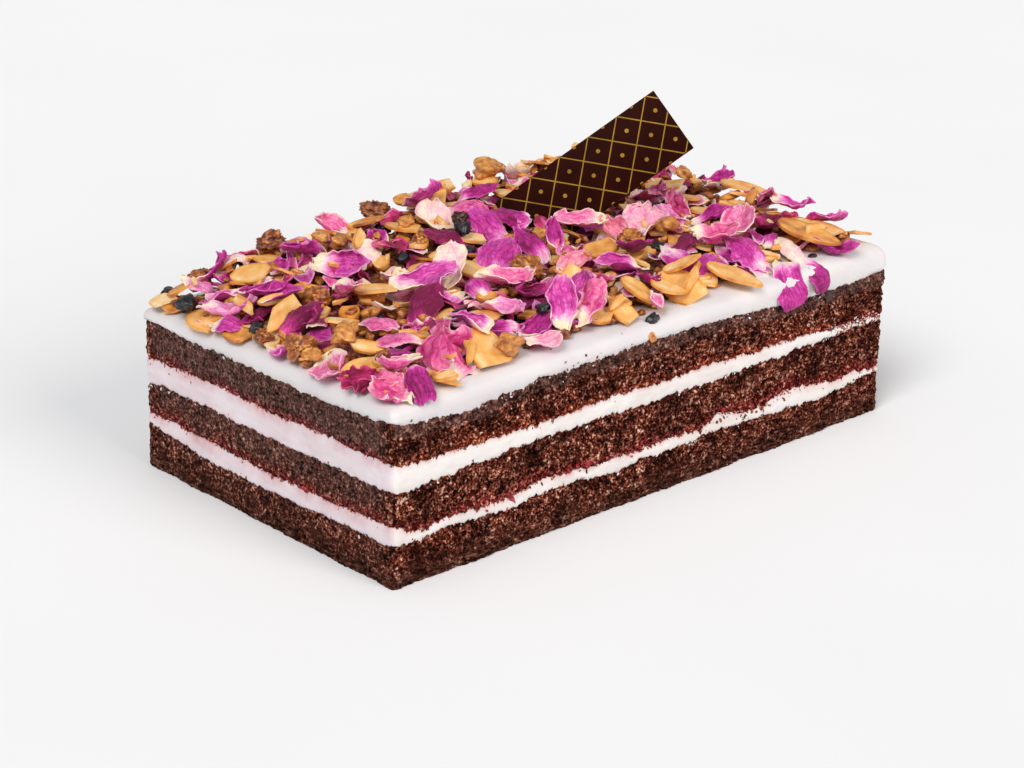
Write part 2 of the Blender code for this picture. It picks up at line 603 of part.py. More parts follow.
def skins_of(solid):
    """Sets of faces that join at plain edges, smallest first."""
    left = set(solid.faces)
    skins = []
    while left:
        queue = [left.pop()]
        skin = list(queue)
        while queue:
            for edge in queue.pop().edges:
                for face in edge.link_faces:
                    if face in left and len(edge.link_faces) == 2:
                        left.remove(face)
                        skin.append(face)
                        queue.append(face)
        skins.append(skin)
    return sorted(skins, key=len)


def clean_skin(thing):
    """Drop loose scraps and fill sealed hollows, so that one outer skin stays, with no tiny edges."""
    solid = bmesh.new()
    solid.from_mesh(thing.data)
    for _ in range(CLEANING_ROUNDS):
        bmesh.ops.dissolve_limit(solid, angle_limit=math.radians(0.5), verts=solid.verts, edges=solid.edges)
        bmesh.ops.triangulate(solid, faces=solid.faces)
        bmesh.ops.dissolve_degenerate(solid, dist=TINY_EDGE, edges=solid.edges)
        bmesh.ops.triangulate(solid, faces=solid.faces)
        bmesh.ops.collapse(solid, edges=[edge for edge in solid.edges if len(edge.link_faces) > 2])
        scraps = [face for skin in skins_of(solid)[:-1] for face in skin]
        bmesh.ops.delete(solid, geom=scraps, context="FACES")
        bmesh.ops.delete(solid, geom=[edge for edge in solid.edges if not edge.link_faces], context="EDGES")
    solid.to_mesh(thing.data)
    solid.free()


def build_cake():
    """Every layer, then the heap and the plaque stuck into it."""
    sponge = make_material("chocolate sponge", (0.045, 0.016, 0.010), 0.95)
    cream = make_material("cream", (0.86, 0.82, 0.80), 0.5)
    topping = make_material("petals and nuts", (0.55, 0.12, 0.30), 0.6)
    chocolate = make_material("dark chocolate", (0.025, 0.008, 0.008), 0.35)

    build_layer("sponge_bottom", "base", "lower_cream_base", 3, 0.0, CRUMB_RELIEF, sponge, 11)
    build_layer("cream_lower", "lower_cream_base", "lower_cream_top", 2, CREAM_BULGE, 0.0, cream, 12)
    build_layer("sponge_middle", "lower_cream_top", "upper_cream_base", 3, 0.0, CRUMB_RELIEF, sponge, 13)
    build_layer("cream_upper", "upper_cream_base", "upper_cream_top", 2, CREAM_BULGE, 0.0, cream, 14)
    build_layer("sponge_top", "upper_cream_top", "top_cream_base", 3, 0.0, CRUMB_RELIEF, sponge, 15)
    top_cream = build_top_cream(cream)
    build_plaque("chocolate_plaque", chocolate, 0.0)

    heap = build_core(topping)
    fuse_pieces(heap)
    cut_away(heap, grown_copy(top_cream, GAP))
    cut_away(heap, build_plaque("clearance", chocolate, HEAP_SLOT))
    clean_skin(heap)
    cut_away(top_cream, build_plaque("clearance", chocolate, GAP))


for leftover in list(bpy.data.objects):
    bpy.data.objects.remove(leftover)
build_cake()
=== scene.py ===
"""Layered chocolate cake with cream fillings, a heap of dried petals and toasted nuts, and a plaque.

Metres. The origin is the middle of the base, +X runs along the long side and +Z is up.
"""
import math
import random

import bmesh
import bpy
import numpy as np
from mathutils import Matrix, Vector, noise
from mathutils.bvhtree import BVHTree


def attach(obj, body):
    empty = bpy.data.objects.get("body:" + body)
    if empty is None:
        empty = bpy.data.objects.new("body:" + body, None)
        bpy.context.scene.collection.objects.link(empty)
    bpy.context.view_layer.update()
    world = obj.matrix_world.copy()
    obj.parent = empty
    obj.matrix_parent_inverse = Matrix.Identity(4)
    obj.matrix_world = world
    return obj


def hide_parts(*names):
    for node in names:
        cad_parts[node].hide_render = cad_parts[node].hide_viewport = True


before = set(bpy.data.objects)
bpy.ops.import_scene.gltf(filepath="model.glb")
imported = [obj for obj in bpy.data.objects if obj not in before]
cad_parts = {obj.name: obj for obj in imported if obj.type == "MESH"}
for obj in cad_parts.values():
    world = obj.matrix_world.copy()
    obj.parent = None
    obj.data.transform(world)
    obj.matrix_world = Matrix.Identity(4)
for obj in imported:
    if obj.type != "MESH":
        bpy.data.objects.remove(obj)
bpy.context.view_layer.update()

MM = 0.001
scene = bpy.context.scene
scene.view_settings.view_transform = "Standard"


# ---- Camera, floor and light --------------------------------------------------------------
# A long lens looks down on the near corner of the cake. The cake stands on a wide white table
# under one big soft light from the left, with a weaker one that fills the long side.
VIEW_PLACE, VIEW_TURN, VIEW_DIP, VIEW_ROLL = (-0.6487, -0.7009, 0.4076), -42.55, 22.09, 0.83
VIEW_LENS = 102.7                    # in millimetres, on a sensor 36 mm wide


def turned(angle, axis):
    """Turn by an angle in degrees about an axis."""
    return Matrix.Rotation(math.radians(angle), 4, axis)


camera = bpy.data.objects.new("camera", bpy.data.cameras.new("camera"))
camera.data.sensor_width = 36.0
camera.data.lens = VIEW_LENS
camera.matrix_world = (Matrix.Translation(VIEW_PLACE) @ turned(VIEW_TURN, "Z") @ turned(90.0 - VIEW_DIP, "X")
                       @ turned(VIEW_ROLL, "Z"))
scene.collection.objects.link(camera)
scene.camera = camera


def colour(code):
    """Linear colour of an sRGB hex code such as 'E0A060'."""
    shares = [int(code[place:place + 2], 16) / 255 for place in (0, 2, 4)]
    linear = [share / 12.92 if share < 0.04045 else ((share + 0.055) / 1.055) ** 2.4 for share in shares]
    return (*linear, 1.0)


def fill_sockets(tree, node, values):
    """Give a node's sockets their values, or link them where the value is another node's output."""
    for socket, value in values.items():
        if isinstance(value, bpy.types.NodeSocket):
            tree.links.new(value, node.inputs[socket])
        else:
            node.inputs[socket].default_value = value


def add_node(tree, kind, values=None, stops=(), gives=None, **settings):
    """Add a shader node; give back the output of that name, or else its first one in use."""
    node = tree.nodes.new("ShaderNode" + kind)
    for setting, value in settings.items():
        setattr(node, setting, value)
    for place, _ in stops[2:]:
        node.color_ramp.elements.new(place)
    elements = node.color_ramp.elements if stops else ()
    for element, (place, _) in zip(elements, stops):
        element.position = place
    for element, (_, tint) in zip(elements, stops):
        element.color = colour(tint)
    fill_sockets(tree, node, values or {})
    return node.outputs[gives] if gives else next(output for output in node.outputs if output.enabled)


def new_material(name, values):
    """Material whose Principled shader has these values; gives it with its tree and its shader."""
    material = bpy.data.materials.new(name)
    material.use_nodes = True
    shader = material.node_tree.nodes["Principled BSDF"]
    fill_sockets(material.node_tree, shader, values)
    return material, material.node_tree, shader


def finish_piece(name, shape, material, sharp=None):
    """Object with a shape and a material, smooth but for edges sharper than an angle in degrees."""
    mesh = bpy.data.meshes.new(name)
    shape.to_mesh(mesh)
    shape.free()
    mesh.materials.append(material)
    mesh.shade_smooth()
    if sharp is not None:
        mesh.set_sharp_from_angle(angle=math.radians(sharp))
    piece = bpy.data.objects.new(name, mesh)
    scene.collection.objects.link(piece)
    return piece


def add_sun(name, turn, height, strength, spread, tint):
    """Soft far light that comes from a compass turn and a height over the table, in degrees."""
    data = bpy.data.lights.new(name, "SUN")
    data.energy = strength
    data.angle = math.radians(spread)
    data.color = colour(tint)[:3]
    light = bpy.data.objects.new(name, data)
    light.matrix_world = turned(turn, "Z") @ turned(90.0 - height, "X")
    scene.collection.objects.link(light)


# Turn 0 is light from the -Y side; a positive turn brings it from the right of the long side.
add_sun("key", -66.0, 48.0, 1.75, 28.0, "FFFFFF")
add_sun("fill", 8.0, 30.0, 1.35, 30.0, "FFF9F3")

world = bpy.data.worlds.new("studio")
scene.world = world
world.use_nodes = True
background = world.node_tree.nodes["Background"]
fill_sockets(world.node_tree, background, {"Color": colour("F2F4F8"), "Strength": 0.42})

table_material, tree, shader = new_material("white studio table", {
    "Roughness": 0.8, "Specular IOR Level": 0.2})
table_place = add_node(tree, "TexCoord", gives="Object")
table_grain = add_node(tree, "TexNoise", {"Vector": table_place, "Scale": 6.0})
table_tint = add_node(tree, "ValToRGB", {"Fac": table_grain}, stops=((0.3, "F7F7F7"), (0.7, "F9F9F9")))
fill_sockets(tree, shader, {"Base Color": table_tint})
shape = bmesh.new()
bmesh.ops.create_grid(shape, x_segments=1, y_segments=1, size=4.0)
table = finish_piece("table", shape, table_material)


# ---- Bottom sponge -------------------------------------------------------------------------
# Dark chocolate sponge baked in a sheet and cut with a knife. The long sides are torn into
# open crumb, the short sides are cut cleaner, and the underside is a darker, denser skin.
LONG_MARK, SHORT_MARK = 230.0, 131.5       # length and width in millimetres, as the seams are marked
LENGTH, WIDTH = LONG_MARK * MM, SHORT_MARK * MM
HALF_LENGTH, HALF_WIDTH = LENGTH / 2, WIDTH / 2
CORNER_ROUND = 2.2 * MM
WALL_CELL = 0.45 * MM
LIP = 11.0 * MM                      # the seams are flat this far in from the outside
SEAM_GAP = 0.1 * MM
ON_SIDE = 2.0                        # millimetres within which a point counts as on a shown side
HIDDEN_WAVE, WAVE_X, WAVE_Y = 0.6, 0.074, 0.084    # wave on the hidden sides: height, radians a millimetre
CLEAN_CUT = 0.6                      # how rough a short side is, as a share of a long side
# Torn crumb, as pairs of steps in a metre and height in millimetres: along the seams, and on the sides
TEARS = ((130.0, 1.0), (380.0, 0.9), (900.0, 0.9))
LUMPS, CRAGS = ((85.0, 0.8),), ((330.0, 0.5), (850.0, 0.7))
PORE_STEPS, PORE_DEPTH = Vector((420.0, 420.0, 560.0)), 1.1
# The topmost seam, higher than this, is closed by the knife by this share, right of the middle
TOP_SEAM_FROM, DRAWN_OVER, DRAWN_RUN = 50.0, 0.45, 20.0 * MM
RIM_PINCH, RIM_WIDTH = 0.35 * MM, 0.6 * MM     # a layer draws in by this much, this near to its seams
# How far the long sides' roughness, the short sides' greyer tint at their corners and up their height, and
# the crust fade
END_FADE, CORNER_FADE, SIDE_FADE, CRUST_FADE = 4.0 * MM, 9.0 * MM, 46.0 * MM, 2.0 * MM

# A seam: its flat middle height, then pairs of distance from the front corner and height,
# along the long side and along the short side, all in millimetres.
base_seam = (0.0, ((0, 0.0),), ((0, 0.0),))
bottom_top_seam = (14.0,
    ((0, 14.8), (12, 14.8), (22, 15.4), (45, 14.2), (74, 15.4), (95, 13.4), (112, 14.6), (145, 14.6),
     (170, 13.8), (195, 12.7), (212, 14.2), (230, 15.4)),
    ((0, 14.8), (33, 13.7), (66, 12.7), (99, 12.6), (122, 15.0), (131.5, 16.8)))


def outward(x, y):
    """Direction out of the cake at a point of its rounded outline."""
    inner_x, inner_y = HALF_LENGTH - CORNER_ROUND, HALF_WIDTH - CORNER_ROUND
    out = Vector((x - min(max(x, -inner_x), inner_x), y - min(max(y, -inner_y), inner_y)))
    return out.normalized() if out.length > 0.0 else Vector((0.0, 0.0))


def ease(value):
    """Smooth step between 0 and 1."""
    value = min(max(value, 0.0), 1.0)
    return value * value * (3.0 - 2.0 * value)


def relief(spot, waves):
    """Sum of noise at a spot, from pairs of steps in a metre and height."""
    return sum(noise.noise(spot * steps) * height for steps, height in waves)


def seam_height(seam, x, y):
    """Height of a seam where it comes out of the cake at x, y, without its raggedness."""
    _, long_side, short_side = seam
    from_left, from_front = (x + HALF_LENGTH) / MM, (y + HALF_WIDTH) / MM
    if from_front < ON_SIDE:
        return np.interp(from_left, *zip(*long_side)) * MM
    if from_left < ON_SIDE:
        return np.interp(from_front, *zip(*short_side)) * MM
    left, right = short_side[-1][1], long_side[-1][1]
    if from_front > SHORT_MARK - ON_SIDE:
        start, end, part = left, right, from_left / LONG_MARK
    else:
        start, end, part = right, left, from_front / SHORT_MARK
    wave = HIDDEN_WAVE * math.sin(from_left * WAVE_X + from_front * WAVE_Y) * (seam is not base_seam)
    fade = math.sin(math.pi * min(max(part, 0.0), 1.0))
    return (start + (end - start) / 2 * part + wave * fade) * MM


def torn_height(seam, x, y):
    """Height of a seam at x, y, pushed up or down by torn crumb."""
    height = seam_height(seam, x, y)
    if seam is base_seam:
        return height
    tear = relief(Vector((x, y, seam[0] * 0.01)), TEARS)
    drawn_over = DRAWN_OVER * ease(x / DRAWN_RUN + 1.0) if seam[0] > TOP_SEAM_FROM else 0.0
    rough = CLEAN_CUT + (1.0 - CLEAN_CUT) * ease((HALF_LENGTH - abs(x)) / END_FADE)
    return height + tear * rough * (1.0 - drawn_over) * MM


def lip_point(seam, x, y, gap):
    """Point of a layer's flat underside or top, a lip's width further in, and a gap off the seam."""
    height = seam[0] * MM + (0.0 if seam is base_seam else gap)
    return x * (1 - 2 * LIP / LENGTH), y * (1 - 2 * LIP / WIDTH), height


def cake_wall(rows):
    """Open upright wall round the cake, one unit high, in even cells and a number of rows."""
    wall = bmesh.new()
    bmesh.ops.create_cube(wall, size=1.0)
    bmesh.ops.translate(wall, vec=(0.0, 0.0, 0.5), verts=wall.verts)
    bmesh.ops.scale(wall, vec=(LENGTH, WIDTH, 1.0), verts=wall.verts)
    wall.normal_update()
    bmesh.ops.delete(wall, geom=[face for face in wall.faces if abs(face.normal.z) > 0.5], context="FACES")
    upright = [edge for edge in wall.edges if abs(edge.verts[0].co.z - edge.verts[1].co.z) > 0.5]
    bmesh.ops.bevel(
        wall, geom=upright, offset=CORNER_ROUND, offset_type="OFFSET", affect="EDGES", segments=5,
        profile=0.5, material=-1)
    cuts_x, cuts_y = int(LENGTH / WALL_CELL), int(WIDTH / WALL_CELL)
    for axis, least, cuts in ((0, HALF_LENGTH, cuts_x), (1, HALF_WIDTH, cuts_y), (2, 0.5, rows - 1)):
        edges = [edge for edge in wall.edges if abs(edge.verts[0].co[axis] - edge.verts[1].co[axis]) > least]
        bmesh.ops.subdivide_edges(wall, edges=edges, cuts=cuts, use_grid_fill=True)
    return wall


def close_ends(wall):
    """Close the bottom and the top of a wall with one flat face each."""
    bmesh.ops.holes_fill(wall, edges=[edge for edge in wall.edges if edge.is_boundary], sides=0)
    bmesh.ops.recalc_face_normals(wall, faces=wall.faces)


def crumb(spot, rough):
    """How far crumb stands out at a spot, and how much of a pore it is there, from 0 to 1."""
    cells = noise.voronoi(spot * PORE_STEPS)[0]
    pore = min(1.0, max(0.0, 1.5 - cells[0] * 3.4))
    pore *= ease(noise.noise(spot * 120.0 + Vector((9.0, 0.0, 0.0))) * 2.5 + 0.5)
    return (relief(spot, LUMPS) + rough * (relief(spot, CRAGS) - PORE_DEPTH * pore)) * MM, pore


def sponge_layer(low_seam, high_seam, rows, juice_depth, crust_depth=0.0):
    """Sponge between two seams: juice has soaked up by juice_depth, and its crust is crust_depth thick."""
    layer = cake_wall(rows)
    pore_mark = layer.verts.layers.float.new("pore")
    juice_mark = layer.verts.layers.float.new("juice")
    side_mark = layer.verts.layers.float.new("short_side")
    for vertex in layer.verts:
        x, y, share = vertex.co
        row = round(share * rows)
        if row in (0, rows):
            seam, gap = (low_seam, SEAM_GAP) if row == 0 else (high_seam, -SEAM_GAP)
            vertex.co = lip_point(seam, x, y, gap)
            continue
        out = outward(x, y)
        low, high = torn_height(low_seam, x, y), torn_height(high_seam, x, y)
        part = (row - 1) / (rows - 2)
        z = low + (high - low) * part
        spot = Vector((x, y, z))
        push, pore = crumb(spot, 1.0 if abs(out.y) > abs(out.x) else CLEAN_CUT)
        push -= RIM_PINCH * max(0.0, 1.0 - min(part, 1.0 - part) * (high - low) / RIM_WIDTH)
        vertex.co = (x + out.x * push, y + out.y * push, z)
        vertex[pore_mark] = pore
        if abs(out.x) > abs(out.y):
            near_corner = ease((HALF_WIDTH - abs(y)) / CORNER_FADE + 0.5 * noise.noise(spot * 200.0))
            vertex[side_mark] = near_corner * (0.1 + 0.9 * ease(z / SIDE_FADE))
        elif crust_depth > 0.0:
            in_crust = (z - high + crust_depth) / CRUST_FADE
            vertex[side_mark] = 0.8 * ease(in_crust + 0.8 * noise.noise(spot * 160.0))
        soak = juice_depth * (1.0 + 1.2 * noise.noise(Vector((x, y, 0.3)) * 70.0))
        vertex[juice_mark] = max(0.0, 1.0 - (z - low) / soak) if soak > 0.0 else 0.0
    close_ends(layer)
    return layer


# Chocolate sponge, baked and cut: dull and rusty brown on its crumb, with painted shade that makes its pores
# nearly black.
# Its finest pores, about 0.3 mm across, are drawn about 0.8 mm across so that they show.
sponge_material, tree, shader = new_material("baked chocolate sponge", {
    "Roughness": 0.95, "Specular IOR Level": 0.08, "IOR": 1.45})
place = add_node(tree, "TexCoord", gives="Object")
grit = add_node(tree, "TexNoise", {"Vector": place, "Scale": 1150.0, "Detail": 2.0, "Roughness": 0.6})
clumps = add_node(tree, "TexNoise", {"Vector": place, "Scale": 480.0, "Detail": 2.0, "Roughness": 0.6})
grit_and_clumps = add_node(tree, "Mix", {"Factor": 0.4, 2: grit, 3: clumps})
# Its grain runs from near black to pale pink: partly the crumb's own mottle, partly painted shade in its pits
# and painted highlight on its crumbs. The other tints over this grain spread the same way.
crumb_tint_and_shading = add_node(tree, "ValToRGB", {"Fac": grit_and_clumps}, stops=(
    (0.395, "080201"), (0.45, "2E1009"), (0.51, "662E20"), (0.565, "985844"), (0.61, "CC9C88"),
    (0.66, "F0DCD0")))
patches = add_node(tree, "TexNoise", {"Vector": place, "Scale": 130.0, "Detail": 3.0})
patch_tint = add_node(tree, "ValToRGB", {"Fac": patches}, stops=((0.36, "9C8880"), (0.6, "FFF6F0")))
patched = add_node(
    tree, "Mix", {"Factor": 1.0, 6: crumb_tint_and_shading, 7: patch_tint}, data_type="RGBA", blend_type="MULTIPLY")
side_share = add_node(tree, "Attribute", gives="Fac", attribute_name="short_side")
# A greyer, paler tint on the short sides, strongest high up and away from the corners, and on the crust band
# of the long side.
grey_tint = add_node(tree, "ValToRGB", {"Fac": grit_and_clumps}, stops=(
    (0.38, "261613"), (0.45, "452E29"), (0.53, "60453E"), (0.6, "765850"), (0.66, "907067")))
grey_share = add_node(tree, "Math", {0: side_share, 1: 0.85}, operation="MULTIPLY")
cut = add_node(tree, "Mix", {"Factor": grey_share, 6: patched, 7: grey_tint}, data_type="RGBA")
# The lowest 8 mm are a compact, darker skin with streaks along the sheet, about 1 mm apart.
place_height = add_node(tree, "SeparateXYZ", {"Vector": place}, gives="Z")
skin_share = add_node(tree, "MapRange", {
    "Value": place_height, "From Min": 10.0 * MM, "From Max": 2.0 * MM, "To Min": 0.0, "To Max": 0.65})
streak_place = add_node(tree, "Mapping", {"Vector": place, "Scale": (200.0, 200.0, 1300.0)})
streaks = add_node(tree, "TexNoise", {"Vector": streak_place, "Scale": 1.0, "Detail": 4.0})
skin_tint = add_node(tree, "ValToRGB", {"Fac": streaks}, stops=(
    (0.4, "0C0403"), (0.5, "321810"), (0.6, "56352A"), (0.68, "8A6454")))
skinned = add_node(tree, "Mix", {"Factor": skin_share, 6: cut, 7: skin_tint}, data_type="RGBA")
# Painted shade: the pores are drawn nearly black.
pore_shade_share = add_node(tree, "Attribute", gives="Fac", attribute_name="pore")
pore_shaded = add_node(tree, "Mix", {"Factor": pore_shade_share, 6: skinned, 7: colour("060201")}, data_type="RGBA")
# Raspberry juice has crept up from the cream below with no clear edge: wine red in the middle
# sponge and on the short sides, rusty elsewhere.
juice_share = add_node(tree, "Attribute", gives="Fac", attribute_name="juice")
rusty_tint = add_node(tree, "ValToRGB", {"Fac": grit_and_clumps}, stops=(
    (0.4, "200804"), (0.48, "601C10"), (0.55, "9C4026"), (0.61, "CC7858"), (0.66, "F2C8A8")))
wine_tint = add_node(tree, "ValToRGB", {"Fac": grit_and_clumps}, stops=(
    (0.4, "1E0506"), (0.48, "561318"), (0.55, "8E2A30"), (0.61, "BC5C60"), (0.66, "ECB4B8")))
low_share = add_node(tree, "MapRange", {
    "Value": place_height, "From Min": 42.0 * MM, "From Max": 36.0 * MM, "To Min": 0.0, "To Max": 0.7})
wine_share = add_node(tree, "Math", {0: side_share, 1: low_share}, operation="MAXIMUM")
juice_tint = add_node(tree, "Mix", {"Factor": wine_share, 6: rusty_tint, 7: wine_tint}, data_type="RGBA")
juice_edge = add_node(tree, "Math", {0: juice_share, 1: patches}, operation="MULTIPLY")
juice_reach = add_node(tree, "MapRange", {"Value": side_share, "To Min": 1.8, "To Max": 1.5})
juice_strength = add_node(tree, "Math", {0: juice_edge, 1: juice_reach}, operation="MULTIPLY", use_clamp=True)
juicy = add_node(tree, "Mix", {"Factor": juice_strength, 6: pore_shaded, 7: juice_tint}, data_type="RGBA")
grit_depth = add_node(tree, "MapRange", {"Value": side_share, "To Min": 1.2 * MM, "To Max": 0.7 * MM})
grit_bump = add_node(tree, "Bump", {"Height": grit_and_clumps, "Strength": 1.0, "Distance": grit_depth})
fill_sockets(tree, shader, {"Base Color": juicy, "Normal": grit_bump})

sponge_bottom = finish_piece(
    "sponge_bottom_crumb", sponge_layer(base_seam, bottom_top_seam, 33, 0.0), sponge_material)
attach(sponge_bottom, "root")
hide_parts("sponge_bottom")


# ---- Lower cream filling -------------------------------------------------------------------
# Whipped cream with a little raspberry, spread thin and squeezed by the sponge above it, so
# that its edge is ragged and carries crumbs. It wraps the front corner as a thicker dab.
FILLING_BULGE = 0.55 * MM
FILLING_SWELL = ((95.0, 0.35), (Vector((260.0, 260.0, 520.0)), 0.22))
CRUMBED = 0.85                       # share of the filling's face that crumb covers where it is broken up
lower_cream_top_seam = (19.0,
    ((0, 21.6), (3, 21.2), (6, 18.2), (16, 18.4), (53, 18.3), (66, 20.2), (78, 20.2), (87, 18.3),
     (137, 18.3), (145, 21.4), (152, 21.0), (158, 18.3), (170, 18.4), (178, 21.0), (185, 20.8), (195, 18.9),
     (212, 18.3), (230, 17.6)),
    ((0, 21.6), (33, 20.4), (66, 19.2), (99, 20.0), (124, 20.2), (131.5, 19.8)))


def cream_layer(low_seam, high_seam, rows, stain, broken_from):
    """Cream between two seams, bulged out softly: juice stains its top edge, more so on the short
    sides by a share stain of its height, and crumb breaks it up from a distance along the front."""
    layer = cake_wall(rows)
    juice_mark = layer.verts.layers.float.new("juice")
    depth_mark = layer.verts.layers.float.new("depth")
    side_mark = layer.verts.layers.float.new("short_side")
    for vertex in layer.verts:
        x, y, share = vertex.co
        row = round(share * rows)
        out = outward(x, y)
        vertex[side_mark] = 1.0 if abs(out.x) > abs(out.y) else 0.0
        if row in (0, rows):
            seam, gap = (low_seam, SEAM_GAP) if row == 0 else (high_seam, -SEAM_GAP)
            vertex.co = lip_point(seam, x, y, gap)
            continue
        low, high = torn_height(low_seam, x, y), torn_height(high_seam, x, y)
        part = (row - 1) / (rows - 2)
        z = low + (high - low) * part
        spot = Vector((x, y, z))
        push = FILLING_BULGE * (math.sin(math.pi * part) ** 0.6 - 0.7) + relief(spot, FILLING_SWELL) * MM
        vertex.co = (x + out.x * push, y + out.y * push, z)
        stained = stain if abs(out.x) > abs(out.y) else 0.6 * stain
        patchy = 0.6 + 0.8 * noise.noise(spot * 110.0)
        vertex[juice_mark] = max(0.0, (part - 1.0 + stained) / stained) * patchy
        whole = 1.0 - CRUMBED * ease(((x + HALF_LENGTH) / MM - broken_from) / 8.0) * (out.y < -0.5)
        vertex[depth_mark] = min(part, 1.0 - part) * (high - low) / MM * whole
    close_ends(layer)
    return layer


# Whipped cream, spread with a knife: satin white, faintly pink, a little see-through at thin edges.
filling_material, tree, shader = new_material("whipped raspberry cream", {
    "Roughness": 0.5, "Specular IOR Level": 0.4, "IOR": 1.45, "Subsurface Weight": 0.25,
    "Subsurface Scale": 0.8 * MM})
place = add_node(tree, "TexCoord", gives="Object")
clouds = add_node(tree, "TexNoise", {"Vector": place, "Scale": 70.0, "Detail": 3.0})
long_tint = add_node(tree, "ValToRGB", {"Fac": clouds}, stops=((0.35, "E2DAD6"), (0.6, "EAE5E2")))
short_tint = add_node(tree, "ValToRGB", {"Fac": clouds}, stops=((0.35, "E0D0D4"), (0.65, "E9DEE2")))
side_share = add_node(tree, "Attribute", gives="Fac", attribute_name="short_side")
cream_tint = add_node(tree, "Mix", {"Factor": side_share, 6: long_tint, 7: short_tint}, data_type="RGBA")
juice_share = add_node(tree, "Attribute", gives="Fac", attribute_name="juice")
speckle = add_node(tree, "TexNoise", {"Vector": place, "Scale": 420.0, "Detail": 2.0})
juice_mix = add_node(tree, "Math", {0: juice_share, 1: speckle}, operation="MULTIPLY")
juicy = add_node(tree, "Mix", {"Factor": juice_mix, 6: cream_tint, 7: colour("C4605F")}, data_type="RGBA")
# Its edge is combed by the crumb beside it into teeth about 0.6 mm wide: depth is its distance from that.
depth = add_node(tree, "Attribute", gives="Fac", attribute_name="depth")
teeth = add_node(tree, "TexNoise", {"Vector": place, "Scale": 1100.0, "Detail": 2.0})
tooth_reach = add_node(tree, "MapRange", {
    "Value": teeth, "From Min": 0.44, "From Max": 0.7, "To Min": 0.0, "To Max": 0.85})
tooth_edge = add_node(tree, "Math", {0: tooth_reach, 1: depth}, operation="SUBTRACT")
tooth = add_node(tree, "MapRange", {"Value": tooth_edge, "From Min": 0.0, "From Max": 0.15})
tooth_tint = add_node(tree, "ValToRGB", {"Fac": speckle}, stops=((0.4, "5A241C"), (0.6, "A85A48")))
combed = add_node(tree, "Mix", {"Factor": tooth, 6: juicy, 7: tooth_tint}, data_type="RGBA")
swirl = add_node(tree, "TexNoise", {"Vector": place, "Scale": 300.0, "Detail": 4.0})
swirl_bump = add_node(tree, "Bump", {"Height": swirl, "Strength": 0.35, "Distance": 0.5 * MM})
fill_sockets(tree, shader, {"Base Color": combed, "Normal": swirl_bump})

cream_lower = finish_piece(
    "cream_lower_spread", cream_layer(bottom_top_seam, lower_cream_top_seam, 14, 0.75, 225.0),
    filling_material)
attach(cream_lower, "root")
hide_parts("cream_lower")


# ---- Middle sponge -------------------------------------------------------------------------
# The same sponge. Raspberry juice has soaked its underside red.
upper_cream_base_seam = (33.5,
    ((0, 33.2), (8, 32.9), (27, 33.0), (49, 35.0), (70, 35.0), (87, 34.5), (178, 34.4), (195, 35.0),
     (206, 35.6), (230, 35.8)),
    ((0, 33.2), (33, 32.3), (66, 32.0), (99, 32.4), (131.5, 31.4)))
sponge_middle = finish_piece(
    "sponge_middle_crumb", sponge_layer(lower_cream_top_seam, upper_cream_base_seam, 32, 4.5 * MM),
    sponge_material)
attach(sponge_middle, "root")
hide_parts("sponge_middle")


# ---- Upper cream filling -------------------------------------------------------------------
# The same whipped cream, spread thicker. It runs out to a thin smear at the far right.
upper_cream_top_seam = (41.0,
    ((0, 42.8), (6, 42.0), (12, 41.3), (30, 41.2), (54, 40.8), (103, 40.8), (145, 40.4), (170, 40.0),
     (195, 39.4), (205, 38.2), (230, 37.6)),
    ((0, 42.8), (33, 42.3), (66, 41.5), (99, 41.6), (131.5, 40.5)))
cream_upper = finish_piece(
    "cream_upper_spread", cream_layer(upper_cream_base_seam, upper_cream_top_seam, 20, 0.4, 200.0),
    filling_material)
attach(cream_upper, "root")
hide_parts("cream_upper")


# ---- Top sponge ----------------------------------------------------------------------------
# The same sponge again, stained below. Its crust is left on, a darker, closer band of about 5 mm.
top_cream_base_seam = (55.0,
    ((0, 56.4), (6, 55.4), (12, 54.6), (37, 53.8), (62, 56.3), (87, 55.8), (112, 56.7), (145, 55.8),
     (170, 54.2), (195, 52.9), (212, 53.3), (230, 54.6)),
    ((0, 56.4), (33, 54.0), (66, 53.9), (99, 53.6), (122, 54.4), (131.5, 55.0)))
sponge_top = finish_piece(
    "sponge_top_crumb", sponge_layer(upper_cream_top_seam, top_cream_base_seam, 32, 3.4 * MM, 5.5 * MM),
    sponge_material)
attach(sponge_top, "root")
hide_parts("sponge_top")


# ---- Cream on top --------------------------------------------------------------------------
# White whipped cream, smoothed with a palette knife over the top and down to the sponge, so its
# rim is soft and round and waves a little. It is thinnest at the far left.
CREAM_MIDDLE = 63.0
cream_edge_seam = (CREAM_MIDDLE,
    ((0, 62.4), (29, 62.6), (58, 63.0), (115, 63.2), (144, 63.4), (173, 63.6), (201, 64.0), (230, 64.2)),
    ((0, 62.4), (33, 62.4), (66, 61.4), (99, 60.2), (131.5, 58.8)))
# Rows of the rim: how far in from the outside and how far under the edge height, in millimetres.
RIM_ROWS = (
    (-0.6, 4.6), (-0.55, 3.8), (-0.4, 3.0), (-0.1, 2.2), (0.5, 1.5), (1.4, 0.9), (2.6, 0.5), (4.2, 0.2),
    (6.0, 0.05), (8.0, 0.0), (10.5, 0.0), (14.0, 0.0), (20.0, 0.0), (36.0, 0.0))
WALL_ROWS = 12
EDGE_FADE = 36.0 * MM
RIGHT_SAG, SAG_START, SAG_RUN = 0.7, 88.0, 24.0    # its rim is this share rounder at the right end
TOP_SWELL, KNIFE_WAVE = ((60.0, 0.45), (190.0, 0.18)), 0.45 * MM
SWELL_INSET = 3.0                    # its rim swells in and out up to this many millimetres in


